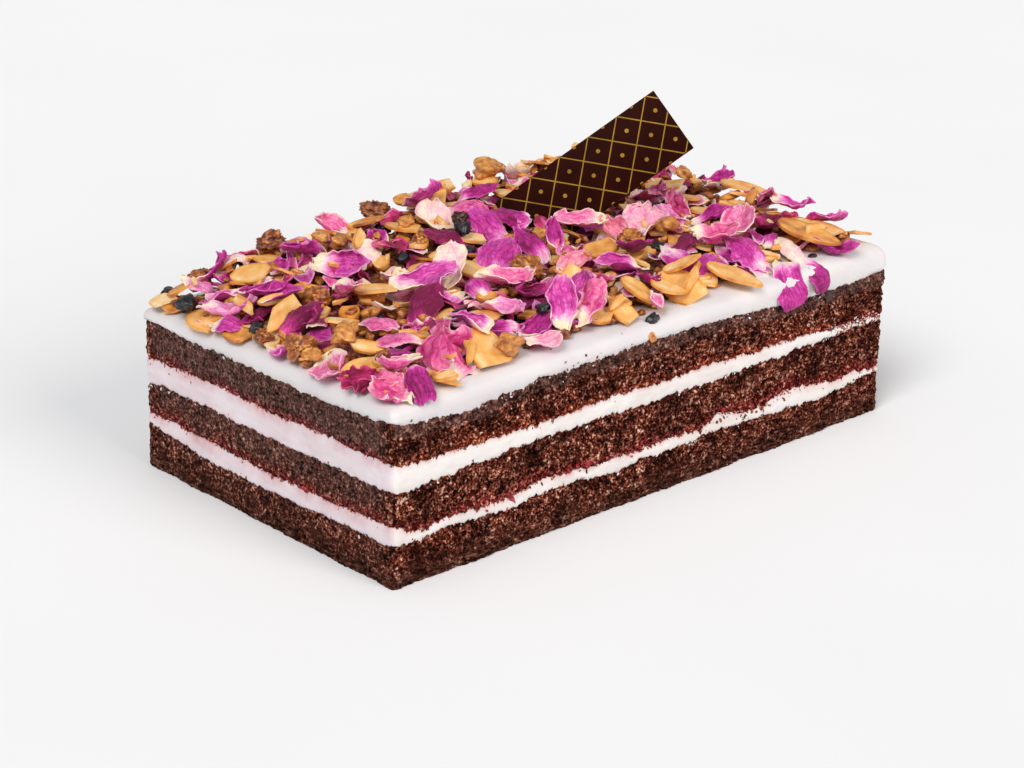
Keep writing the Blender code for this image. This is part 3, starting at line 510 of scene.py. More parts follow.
def cream_top_height(x, y):
    """Height of the cream's top, easing from its edge to its flat middle."""
    inside = min(HALF_LENGTH - abs(x), HALF_WIDTH - abs(y))
    edge_x, edge_y = max(-HALF_LENGTH, min(HALF_LENGTH, x)), max(-HALF_WIDTH, min(HALF_WIDTH, y))
    if HALF_LENGTH - abs(x) < HALF_WIDTH - abs(y):
        edge_x = math.copysign(HALF_LENGTH, x)
    else:
        edge_y = math.copysign(HALF_WIDTH, y)
    middle = CREAM_MIDDLE * MM
    return middle + (seam_height(cream_edge_seam, edge_x, edge_y) - middle) * (1.0 - ease(inside / EDGE_FADE))


def top_cream():
    """The cream on top: a lip on the sponge, a wall, a round rim, and a flat middle under the heap."""
    rows = WALL_ROWS + len(RIM_ROWS)
    cream = cake_wall(rows)
    for vertex in cream.verts:
        x, y, share = vertex.co
        row = round(share * rows)
        if row == 0:
            vertex.co = lip_point(top_cream_base_seam, x, y, SEAM_GAP)
            continue
        out = outward(x, y)
        inset, drop = RIM_ROWS[max(row - 1 - WALL_ROWS, 0)]
        z = seam_height(cream_edge_seam, x, y)
        z -= drop * MM * (1.0 + RIGHT_SAG * ease((x / MM - SAG_START) / SAG_RUN))
        if row <= WALL_ROWS:
            part = (row - 1) / WALL_ROWS
            low = torn_height(top_cream_base_seam, x, y)
            z = low + (z - low) * part
            inset = 0.25 - 0.85 * math.sin(part * math.pi / 2)
        if row == rows:
            z = CREAM_MIDDLE * MM
        push = relief(Vector((x, y, z)), TOP_SWELL) * MM * (inset < SWELL_INSET)
        knife = noise.noise(Vector((x * 22.0, y * 55.0, inset * 0.25))) * KNIFE_WAVE * ease(inset / 3.0 + 0.2)
        vertex.co = (x * (1 - 2 * inset * MM / LENGTH) + out.x * push,
                     y * (1 - 2 * inset * MM / WIDTH) + out.y * push, z + knife * (row != rows))
    close_ends(cream)
    return cream


# Whipped cream, smoothed: satin white, slightly cool, with fine knife marks and no pink.
top_cream_material, tree, shader = new_material("smoothed whipped cream", {
    "Roughness": 0.45, "Specular IOR Level": 0.4, "IOR": 1.45, "Subsurface Weight": 0.25,
    "Subsurface Scale": 0.8 * MM})
place = add_node(tree, "TexCoord", gives="Object")
clouds = add_node(tree, "TexNoise", {"Vector": place, "Scale": 45.0, "Detail": 3.0})
cream_tint = add_node(tree, "ValToRGB", {"Fac": clouds}, stops=((0.3, "DCD6D8"), (0.65, "E4E0DF")))
knife_place = add_node(tree, "Mapping", {"Vector": place, "Scale": (80.0, 240.0, 240.0)})
knife_marks = add_node(tree, "TexNoise", {"Vector": knife_place, "Scale": 1.0, "Detail": 3.0})
knife_bump = add_node(tree, "Bump", {"Height": knife_marks, "Strength": 0.3, "Distance": 0.5 * MM})
fill_sockets(tree, shader, {"Base Color": cream_tint, "Normal": knife_bump})

cream_top = finish_piece("cream_top_smoothed", top_cream(), top_cream_material)
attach(cream_top, "root")
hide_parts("cream_top")


# ---- Loose crumbs, cream flecks and fruit on the cut sides ---------------------------------
# The knife dragged crumbs into the cream and flecks of cream onto the sponge, thickest at the
# seams. A few soft bits of raspberry show where the cream meets the middle sponge.
SUNK = 0.1                           # a bit's middle is this share of its size outside the cut side
# A side: the end where it starts, the direction it runs in, the direction out of it, and its length.
ALONG_X, ALONG_Y = Vector((1.0, 0.0, 0.0)), Vector((0.0, 1.0, 0.0))
SIDES = {
    "front": (Vector((-HALF_LENGTH, -HALF_WIDTH, 0.0)), ALONG_X, -ALONG_Y, LONG_MARK),
    "left": (Vector((-HALF_LENGTH, -HALF_WIDTH, 0.0)), ALONG_Y, -ALONG_X, SHORT_MARK),
    "back": (Vector((-HALF_LENGTH, HALF_WIDTH, 0.0)), ALONG_X, ALONG_Y, LONG_MARK),
    "right": (Vector((HALF_LENGTH, -HALF_WIDTH, 0.0)), ALONG_Y, ALONG_X, SHORT_MARK),
}
# Seam, which way from it (1 up, -1 down), how far on average in millimetres, how many in 10 mm of side
CRUMB_BANDS = ((bottom_top_seam, 1, 0.5, 1.4), (lower_cream_top_seam, -1, 0.6, 1.4),
               (upper_cream_base_seam, 1, 0.4, 1.0), (upper_cream_top_seam, -1, 0.5, 1.0),
               (top_cream_base_seam, 1, 0.4, 0.5))
FLECK_BANDS = ((bottom_top_seam, -1, 0.3, 0.8), (upper_cream_base_seam, -1, 0.3, 0.8),
               (top_cream_base_seam, -1, 0.4, 0.5))
# More of them in places: side, from and to along it, seam, way, how far on average, how many in 10 mm
CRUMB_SPOTS = (("front", 137, 185, lower_cream_top_seam, -1, 1.5, 14.0),
               ("front", 70, 105, top_cream_base_seam, 1, 2.2, 5.0),
               ("front", 200, 230, upper_cream_top_seam, -1, 1.2, 9.0),
               ("left", 100, 130, upper_cream_top_seam, -1, 1.0, 3.0))
FLECK_SPOTS = (("front", 200, 230, upper_cream_top_seam, 1, 0.9, 7.0),
               ("front", 45, 75, top_cream_base_seam, -1, 1.8, 6.0),
               ("front", 90, 200, top_cream_base_seam, -1, 0.6, 1.5),
               ("front", 0, 20, upper_cream_base_seam, -1, 1.0, 4.0),
               ("left", 100, 131, upper_cream_base_seam, -1, 1.0, 2.0))
# Raspberry: side, place along it, height and width in millimetres
FRUIT = (("front", 49.5, 18.0, 3.0), ("front", 75, 20.2, 2.4), ("front", 79, 20.6, 2.0),
         ("front", 83, 20.6, 2.8), ("front", 148, 21.8, 2.2), ("left", 44, 20.6, 2.0),
         ("back", 70, 19.0, 3.0), ("back", 150, 19.4, 2.6), ("right", 60, 18.6, 2.6))

walls = bmesh.new()
for layer in (sponge_bottom, cream_lower, sponge_middle, cream_upper, sponge_top, cream_top):
    walls.from_mesh(layer.data)
wall_tree = BVHTree.FromBMesh(walls)
walls.free()


def on_wall(side, place, height):
    """Point of the cut side at a place along it and a height, and the direction out of it."""
    start, run, out, _ = SIDES[side]
    level = start + run * place * MM + Vector((0.0, 0.0, height * MM))
    hit = wall_tree.ray_cast(level + out * 10.0 * MM, -out)[0]
    return (hit or level), out


def own_patch(draw):
    """A place of its own in the noise, so that no two pieces come out alike."""
    return Vector([draw.uniform(0.0, 90.0) for _ in range(3)])


def seam_bits(bands, spots, least, most, seed):
    """Side, place, height and size of the bits that cling near the seams."""
    draw = random.Random(seed)
    rows = [(side, 1.0, SIDES[side][3] - 1.0, *band) for side in SIDES for band in bands] + list(spots)
    bits = []
    for side, first, last, seam, way, spread, thickness in rows:
        start, run, _, _ = SIDES[side]
        for _ in range(int((last - first) / 10.0 * thickness)):
            place = draw.uniform(first, last)
            spot = start + run * place * MM
            size = least + (most - least) * draw.random() ** 2.5
            off = way * min(draw.expovariate(1.0 / spread), 4.0 * spread)
            bits.append((side, place, torn_height(seam, spot.x, spot.y) / MM + off, size))
    return bits


def clinging(bits, detail, seed):
    """Small rough lumps, half sunk into the cut sides where the bits are."""
    draw = random.Random(seed)
    heap, scrap = bmesh.new(), bpy.data.meshes.new("scrap")
    for side, place, height, size in bits:
        point, out = on_wall(side, place, height)
        lump = bmesh.new()
        bmesh.ops.create_icosphere(lump, subdivisions=detail, radius=0.5)
        own = own_patch(draw)
        sizes = Vector((draw.uniform(0.8, 2.0), draw.uniform(0.5, 0.9), draw.uniform(0.5, 0.9))) * size * MM
        for vertex in lump.verts:
            vertex.co = vertex.co * (1.0 + 0.5 * noise.noise(vertex.co * 3.0 + own)) * sizes
        facing = out.to_track_quat("Z", "Y").to_matrix().to_4x4()
        facing = facing @ Matrix.Rotation(draw.uniform(0.0, 6.0), 4, "Z")
        place = Matrix.Translation(point + out * SUNK * size * MM) @ facing
        bmesh.ops.transform(lump, matrix=place, verts=lump.verts)
        lump.to_mesh(scrap)
        lump.free()
        heap.from_mesh(scrap)
    bpy.data.meshes.remove(scrap)
    return heap


# Moist sponge crumb stained by juice: rusty, each one a little lighter or darker than the next.
crumb_material, tree, shader = new_material("moist sponge crumb", {
    "Roughness": 0.85, "Specular IOR Level": 0.15})
place = add_node(tree, "TexCoord", gives="Object")
crumb_spots = add_node(tree, "TexNoise", {"Vector": place, "Scale": 900.0, "Detail": 2.0})
loose_tint = add_node(tree, "ValToRGB", {"Fac": crumb_spots}, stops=(
    (0.38, "4A1E14"), (0.5, "8A4232"), (0.64, "C07C68")))
fill_sockets(tree, shader, {"Base Color": loose_tint})

crumbs = finish_piece(
    "loose_crumbs", clinging(seam_bits(CRUMB_BANDS, CRUMB_SPOTS, 0.4, 1.5, 5), 1, 6), crumb_material)
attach(crumbs, "root")
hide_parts("sponge_bottom", "sponge_middle", "sponge_top")

flecks = finish_piece(
    "cream_flecks", clinging(seam_bits(FLECK_BANDS, FLECK_SPOTS, 0.4, 1.1, 7), 1, 8), top_cream_material)
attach(flecks, "root")
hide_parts("cream_lower", "cream_upper", "cream_top")

# Raspberry flesh, soft and wet: deep red, see-through, bumpy with drupelets about 1 mm across.
fruit_material, tree, shader = new_material("raspberry flesh", {
    "Roughness": 0.3, "IOR": 1.4, "Subsurface Weight": 0.4, "Subsurface Scale": 1.0 * MM})
place = add_node(tree, "TexCoord", gives="Object")
drupelets = add_node(tree, "TexVoronoi", {"Vector": place, "Scale": 900.0})
fruit_tint = add_node(tree, "ValToRGB", {"Fac": drupelets}, stops=(
    (0.1, "D8605C"), (0.4, "B02830"), (0.8, "6A0C14")))
fruit_bump = add_node(tree, "Bump", {"Height": drupelets, "Strength": 0.6, "Distance": -0.4 * MM})
fill_sockets(tree, shader, {"Base Color": fruit_tint, "Normal": fruit_bump})

fruit = finish_piece("raspberry_bits", clinging(FRUIT, 3, 9), fruit_material)
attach(fruit, "root")
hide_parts("cream_lower")


# ---- Chocolate plaque ----------------------------------------------------------------------
# A thin plate of tempered dark chocolate, stuck into the cream at a slant. Its front carries a
# plain gold lattice with dots, printed in coloured cocoa butter; its cut edges are a little lighter.
PLAQUE_SIZE = (69.0 * MM, 2.2 * MM, 24.8 * MM)
plaque_place = (Matrix.Translation((40.0 * MM, 8.0 * MM, 86.8 * MM))
                @ turned(-48.5, "Z") @ turned(-21.0, "X") @ turned(-38.0, "Y"))
LATTICE = 12.4 * MM                  # distance between parallel gold lines
GOLD_LINE, GOLD_DOT = 0.024, 0.085   # half a line's width and a dot's radius, as shares of LATTICE

shape = bmesh.new()
bmesh.ops.create_cube(shape, size=1.0)
bmesh.ops.scale(shape, vec=PLAQUE_SIZE, verts=shape.verts)
bmesh.ops.bevel(
    shape, geom=shape.edges, offset=0.3 * MM, offset_type="OFFSET", affect="EDGES", segments=3, profile=0.5,
    material=-1)
plate_uv = shape.loops.layers.uv.new("UVMap")
front_mark = shape.verts.layers.float.new("front")
cut_mark = shape.verts.layers.float.new("cut_edge")
for face in shape.faces:
    for loop in face.loops:
        loop[plate_uv].uv = (loop.vert.co.x / LATTICE, loop.vert.co.z / LATTICE)
for vertex in shape.verts:
    vertex[front_mark] = 1.0 if vertex.co.y < -PLAQUE_SIZE[1] / 2 + 0.02 * MM else 0.0
    vertex[cut_mark] = 1.0 if abs(vertex.co.y) < PLAQUE_SIZE[1] / 2 - 0.2 * MM else 0.0
bmesh.ops.transform(shape, matrix=plaque_place, verts=shape.verts)

# Tempered dark chocolate, moulded flat: nearly black brown with a soft gloss.
plaque_material, tree, shader = new_material("tempered dark chocolate", {
    "Roughness": 0.5, "Specular IOR Level": 0.03, "IOR": 1.5})
plate_map = add_node(tree, "UVMap", uv_map="UVMap")
across = add_node(tree, "SeparateXYZ", {"Vector": plate_map}, gives="X")
upward = add_node(tree, "SeparateXYZ", {"Vector": plate_map}, gives="Y")
lines = []
for sign in ("ADD", "SUBTRACT"):
    slant = add_node(tree, "Math", {0: across, 1: upward}, operation=sign)
    cell = add_node(tree, "Math", {0: slant}, operation="FRACT")
    centred = add_node(tree, "Math", {0: cell, 1: 0.5}, operation="SUBTRACT")
    lines.append(add_node(tree, "Math", {0: centred}, operation="ABSOLUTE"))
nearest = add_node(tree, "Math", {0: lines[0], 1: lines[1]}, operation="MINIMUM")
line = add_node(tree, "Math", {0: nearest, 1: GOLD_LINE}, operation="LESS_THAN")
dot_place = add_node(tree, "CombineXYZ", {"X": lines[0], "Y": lines[1]})
dot_far = add_node(tree, "VectorMath", {0: dot_place, 1: (0.5, 0.5, 0.0)}, operation="DISTANCE")
dot = add_node(tree, "Math", {0: dot_far, 1: GOLD_DOT}, operation="LESS_THAN")
print_share = add_node(tree, "Math", {0: line, 1: dot}, operation="MAXIMUM")
front_share = add_node(tree, "Attribute", gives="Fac", attribute_name="front")
print_front = add_node(tree, "Math", {0: print_share, 1: front_share}, operation="MULTIPLY")
place = add_node(tree, "TexCoord", gives="Object")
bloom = add_node(tree, "TexNoise", {"Vector": place, "Scale": 140.0, "Detail": 4.0})
plate_tint = add_node(tree, "ValToRGB", {"Fac": bloom}, stops=((0.3, "240804"), (0.7, "2E0C05")))
gold_tint = add_node(tree, "ValToRGB", {"Fac": bloom}, stops=((0.3, "86641E"), (0.7, "AA8636")))
cut_edge = add_node(tree, "Attribute", gives="Fac", attribute_name="cut_edge")
edge_tint = add_node(tree, "Mix", {"Factor": cut_edge, 6: plate_tint, 7: colour("5A2E26")}, data_type="RGBA")
printed = add_node(tree, "Mix", {"Factor": print_front, 6: edge_tint, 7: gold_tint}, data_type="RGBA")
fill_sockets(tree, shader, {"Base Color": printed})

plaque = finish_piece("plaque_printed", shape, plaque_material, 40.0)
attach(plaque, "root")
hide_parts("chocolate_plaque")


# ---- Topping: what every piece shares ------------------------------------------------------
# The heap is scattered by hand, from the crumbs up. Each piece is dropped where it touches what
# lies under it: a bed of small broken bits first, then whole petals, almonds and clusters.
RIM_MARGIN, MARGIN_WAVE = 6.5 * MM, 2.2 * MM
LEFT_REACH = 6.0 * MM                # it comes this much nearer to the left end than to the other edges
HEAP_RISE, HEAP_RIM, HEAP_SLOPE, HEAP_LUMP = 6.2 * MM, 1.1 * MM, 18.0 * MM, 1.0 * MM
BACK_RISE, BACK_START, BACK_RUN = 5.5 * MM, 5.0 * MM, 35.0 * MM      # it is higher along the back
LEFT_DELAY = 26.0 * MM               # though only from further back at the left end
STEEP_SLOPE = 7.0 * MM               # and its rim is steeper there and at the swells
# Swells: x, y, radius and rise in millimetres
SWELLS = ((-78, 52, 46, -1.6), (30, 52, 26, 3.5), (56, 54, 24, 4.0), (102, 0, 28, 4.0))
STACK_LIMIT = 4.8 * MM               # no piece's middle is higher than this over that surface
BED_INSET = 7.0 * MM                 # the bed stops this much short of the heap's rim
BED_DROP = 2.6 * MM                  # the bed's own surface is this far below the heap's
BED_CLIMB = 7.0 * MM                 # and it climbs to that within this distance from its rim
SINK = 0.7 * MM
FIELD_CELL, FIELD_MARGIN = 1.0 * MM, 12.0 * MM
FIELD_THICKNESS = {"petal": 0.9 * MM, "flake": 1.2 * MM, "nugget": 0.0, "raisin": 0.0}
MOST_SLOPE = 0.3                     # a light piece follows the heap's slope up to this many radians
STRIP_STEPS = 8
SIDE_FLAT, ROLL_GAIN = 0.45, 3.3     # a petal's sides roll up beyond this share of its half width
TIP_FLAT, TIP_GAIN = 0.15, 8.0       # and its tip beyond this share of its length from its middle
NUGGET_SIZES = Vector((0.85, 1.0, 0.62))    # a cluster's width, length and height, as shares of its length
SHEET_SAMPLES = [(i / 5.0 - 1.0, j / 12.0) for i in range(11) for j in range(13)]
BALL_SAMPLES = [turned(turn, "Z") @ turned(-lift, "Y") @ Vector((1.0, 0.0, 0.0))
                for turn in range(0, 360, 24) for lift in range(-80, 81, 20)]


def heap_margin(place, seed):
    """Wavy width of the bare cream beside the heap."""
    waves = math.sin(place * 61.0 + seed) + 0.6 * math.sin(place * 147.0 + 2.3 * seed)
    return RIM_MARGIN + MARGIN_WAVE * waves / 1.6


def heap_margins(x, y):
    """Width of the bare cream at the short and at the long edge that are nearest to x, y."""
    return heap_margin(y, 1.0 if x < 0 else 2.0), heap_margin(x, 3.0 if y < 0 else 4.0)


def rim_distance(x, y):
    """Distance from the edge of the cake, or a little more along its left end."""
    return min(HALF_LENGTH - abs(x) + LEFT_REACH * (x < 0.0), HALF_WIDTH - abs(y))


def heap_height(x, y, drop=0.0):
    """Surface that the whole pieces lie on, or one lower by drop."""
    inside = rim_distance(x, y) - RIM_MARGIN
    delay = LEFT_DELAY * ease((-x / MM - 80.0) / 20.0)
    steep = ease((y - BACK_START - delay) / BACK_RUN)
    rise = HEAP_RISE + BACK_RISE * steep
    for swell_x, swell_y, radius, height in SWELLS:
        near = ease(1.0 - math.hypot(x / MM - swell_x, y / MM - swell_y) / radius)
        rise += height * MM * near
        steep = max(steep, near)
    climb = inside / (HEAP_SLOPE + (STEEP_SLOPE - HEAP_SLOPE) * steep)
    lump = math.sin(x * 210.0 + 1.0) * math.sin(y * 260.0) + math.sin(x * 97.0 - y * 143.0 + 2.0)
    rise = HEAP_RIM + (rise - drop - HEAP_RIM) * ease(climb)
    return cream_top_height(x, y) + rise + HEAP_LUMP * lump * ease(climb + 0.3) / 2 - drop * 0.5


def bed_climb(edge):
    """Share of its full height that the bed has reached at a distance from its rim."""
    return ease(0.2 + edge / BED_CLIMB) if edge >= 0.0 else 0.0


def half_width(kind, part):
    """Half the width of a petal or flake, as a share of its greatest, along its length."""
    if kind == "flake":
        return math.sqrt(1.0 - 0.93 * (2.0 * part - 1.0) ** 2)
    return (0.22 * (1.0 - part) + math.sin(0.82 * math.pi * min(part, 1.0) ** 0.9) ** 0.8) / 1.08


def strip(reach, lean_at):
    """Run and rise of a strip as long as reach, which leans by lean_at as it goes."""
    leans = [lean_at(reach * (step + 0.5) / STRIP_STEPS) for step in range(STRIP_STEPS)]
    return sum(map(math.cos, leans)) * reach / STRIP_STEPS, sum(map(math.sin, leans)) * reach / STRIP_STEPS


def sheet_point(piece, side, part, roll=0.0, tip_roll=0.0):
    """Point of a petal's or flake's middle surface: side from -1 to 1, part from 0 to 1.

    A petal's sides and tip roll up further by roll and tip_roll, in radians.
    """
    half = piece["width"] / 2 * half_width(piece["kind"], part)
    cup = piece["cup"] * half / (piece["width"] / 2)
    bend, tip_bend = ROLL_GAIN * roll, TIP_GAIN * tip_roll
    x, z = strip(side, lambda way: cup * way + math.copysign(bend * max(0.0, abs(way) - SIDE_FLAT) ** 2, way))
    run = part - 0.5 + 0.1 * part * (1.0 - side * side)
    y, rise = strip(run, lambda way: piece["curl"] * way + tip_bend * max(0.0, way - TIP_FLAT) ** 2)
    ripple = math.sin(piece["phase"] + 5.0 * part) * side * abs(side)
    ripple += math.sin(2.0 * piece["phase"] + 7.0 * part)
    height = z * half + rise * piece["length"] + piece["ripple"] * ripple
    return Vector((x * half, y * piece["length"], height))


def nugget_point(piece, direction):
    """Point of a cluster's surface; it is flatter than it is long."""
    phase = piece["phase"]
    lump = math.sin(3.1 * direction.x + phase) * math.sin(2.7 * direction.y + 2.0 * phase)
    lump += 0.6 * math.sin(5.3 * direction.z + 3.7 * direction.x + phase)
    radius = piece["length"] / 2 * (0.86 + 0.16 * lump)
    return direction * NUGGET_SIZES * radius


def piece_shape(kind, x, y, heading, length, rise, seed):
    """Sizes and place of one piece, with its curl and tilt drawn from its seed."""
    draw = random.Random(seed)
    flake = kind == "flake"
    return {
        "kind": kind, "x": x * MM, "y": y * MM, "heading": heading, "length": length * MM,
        "width": length * MM * draw.uniform(0.55, 0.7 if flake else 0.85),
        "cup": draw.uniform(0.12, 0.3) if flake else draw.uniform(0.5, 1.35),
        "curl": draw.uniform(0.15, 0.4) if flake else draw.uniform(0.4, 1.2),
        "ripple": (0.15 if flake else 0.45) * MM,
        "phase": draw.uniform(0.0, 2 * math.pi),
        "rise": rise + draw.uniform(-4.0, 4.0),
        "roll": draw.uniform(-14.0, 14.0) + (180.0 if not flake and draw.random() < 0.3 else 0.0),
    }


def samples(piece):
    """Points all over a piece, close enough together to feel what lies under it."""
    if piece["kind"] in ("nugget", "raisin"):
        return [nugget_point(piece, direction) for direction in BALL_SAMPLES]
    return [sheet_point(piece, side, part) for side, part in SHEET_SAMPLES]


class HeightField:
    """Height of everything laid so far, on a square grid over the cake's top."""

    def __init__(self, drop, inset):
        self.reach_x, self.reach_y = HALF_LENGTH + FIELD_MARGIN, HALF_WIDTH + FIELD_MARGIN
        count_x, count_y = (int(2 * reach / FIELD_CELL) + 1 for reach in (self.reach_x, self.reach_y))
        self.heights = np.zeros((count_x, count_y))
        for i in range(count_x):
            for j in range(count_y):
                x, y = i * FIELD_CELL - self.reach_x, j * FIELD_CELL - self.reach_y
                if abs(x) > HALF_LENGTH or abs(y) > HALF_WIDTH:
                    continue
                ground = cream_top_height(x, y)
                inside = rim_distance(x, y) - RIM_MARGIN
                climb = bed_climb(inside - inset) if inset > 0.0 else float(inside >= 0.0)
                self.heights[i, j] = ground + (heap_height(x, y, drop) - ground) * climb

    def cell(self, x, y):
        """Cell of the grid that holds a point."""
        i = int(round((x + self.reach_x) / FIELD_CELL))
        j = int(round((y + self.reach_y) / FIELD_CELL))
        return (min(max(i, 0), self.heights.shape[0] - 1), min(max(j, 0), self.heights.shape[1] - 1))

    def slope(self, x, y, reach, angle):
        """Fall of the surface along a direction, within what a light piece follows."""
        dx, dy = math.cos(angle) * reach, math.sin(angle) * reach
        change = self.heights[self.cell(x + dx, y + dy)] - self.heights[self.cell(x - dx, y - dy)]
        return min(max(math.atan2(change, 2 * reach), -MOST_SLOPE), MOST_SLOPE)

    def lay(self, piece, ceiling=None):
        """Matrix of a piece dropped where it touches, or None where it would stand over the ceiling."""
        angle = math.radians(piece["heading"])
        reach = piece["length"] / 3
        rise = math.radians(piece["rise"]) + self.slope(piece["x"], piece["y"], reach, angle)
        roll = math.radians(piece["roll"]) - self.slope(piece["x"], piece["y"], reach, angle - math.pi / 2)
        turn = Matrix.Rotation(angle - math.pi / 2, 4, "Z") @ Matrix.Rotation(rise, 4, "X")
        turn = turn @ Matrix.Rotation(roll, 4, "Y")
        points = [turn @ point + Vector((piece["x"], piece["y"], 0.0)) for point in samples(piece)]
        cells = [self.cell(point.x, point.y) for point in points]
        drop = max(self.heights[cell] - point.z for cell, point in zip(cells, points)) - SINK
        drop = min(drop, heap_height(piece["x"], piece["y"]) + STACK_LIMIT)
        if ceiling is not None and max(point.z for point in points) + drop > ceiling:
            return None
        for cell, point in zip(cells, points):
            self.heights[cell] = max(self.heights[cell], point.z + drop + FIELD_THICKNESS[piece["kind"]] / 2)
        return Matrix.Translation((piece["x"], piece["y"], drop)) @ turn


def thicken(sheet, thickness):
    """Make a sheet a closed plate: a copy of its faces is drawn out along their normals, and given back."""
    sheet.normal_update()
    drawn = bmesh.ops.extrude_face_region(sheet, geom=sheet.faces, use_keep_orig=True)["geom"]
    outer = [item for item in drawn if isinstance(item, bmesh.types.BMVert)]
    for vertex in outer:
        vertex.co += vertex.normal * thickness
    return outer


def marked_shape():
    """Empty shape whose points carry a tone and a warmth, and whose faces carry a UV map."""
    shape = bmesh.new()
    shape.verts.layers.float.new("tone")
    shape.verts.layers.float.new("warmth")
    shape.loops.layers.uv.new("UVMap")
    return shape


def gather(laid, make):
    """One shape of many laid pieces, each made by make and turned to where it lies."""
    heap, scrap = marked_shape(), bpy.data.meshes.new("scrap")
    for piece, place in laid:
        one = make(piece)
        bmesh.ops.transform(one, matrix=place, verts=one.verts)
        bmesh.ops.recalc_face_normals(one, faces=one.faces)
        one.to_mesh(scrap)
        one.free()
        heap.from_mesh(scrap)
    bpy.data.meshes.remove(scrap)
    return heap


# Pieces that stand out: kind, x, y, heading of the tip, length, rise of the tip, and how it looks.
# The first ones lie low, on the cream along the left end.
LEFT_END = (
    ("flake", -113, 33, -94, 17, -6, "gold"), ("flake", -113, 56, -80, 12, -2, "pale"),
    ("raisin", -113, 44, 80, 10, 0, "dark"), ("petal", -113, -6, -97, 12, -6, "orchid"),
    ("nugget", -112, 3, 60, 8, 0, "brown"), ("nugget", -111, -14, 25, 12, 0, "walnut"),
    ("petal", -111, -31, -126, 17, -8, "pink"), ("petal", -110, -50, 131, 18, -6, "crinkled deep"),
    ("petal", -109, -60, 126, 14, -2, "crinkled pink"), ("flake", -108, -42, -7, 15, 2, "gold"),
    ("petal", -101, -63, -110, 15, -12, "magenta"), ("flake", -113, 15, -84, 13, -4, "toast"),
    ("nugget", -112, -22, 0, 8, 0, "gold"), ("petal", -113, 22, -70, 12, -6, "orchid"),
)
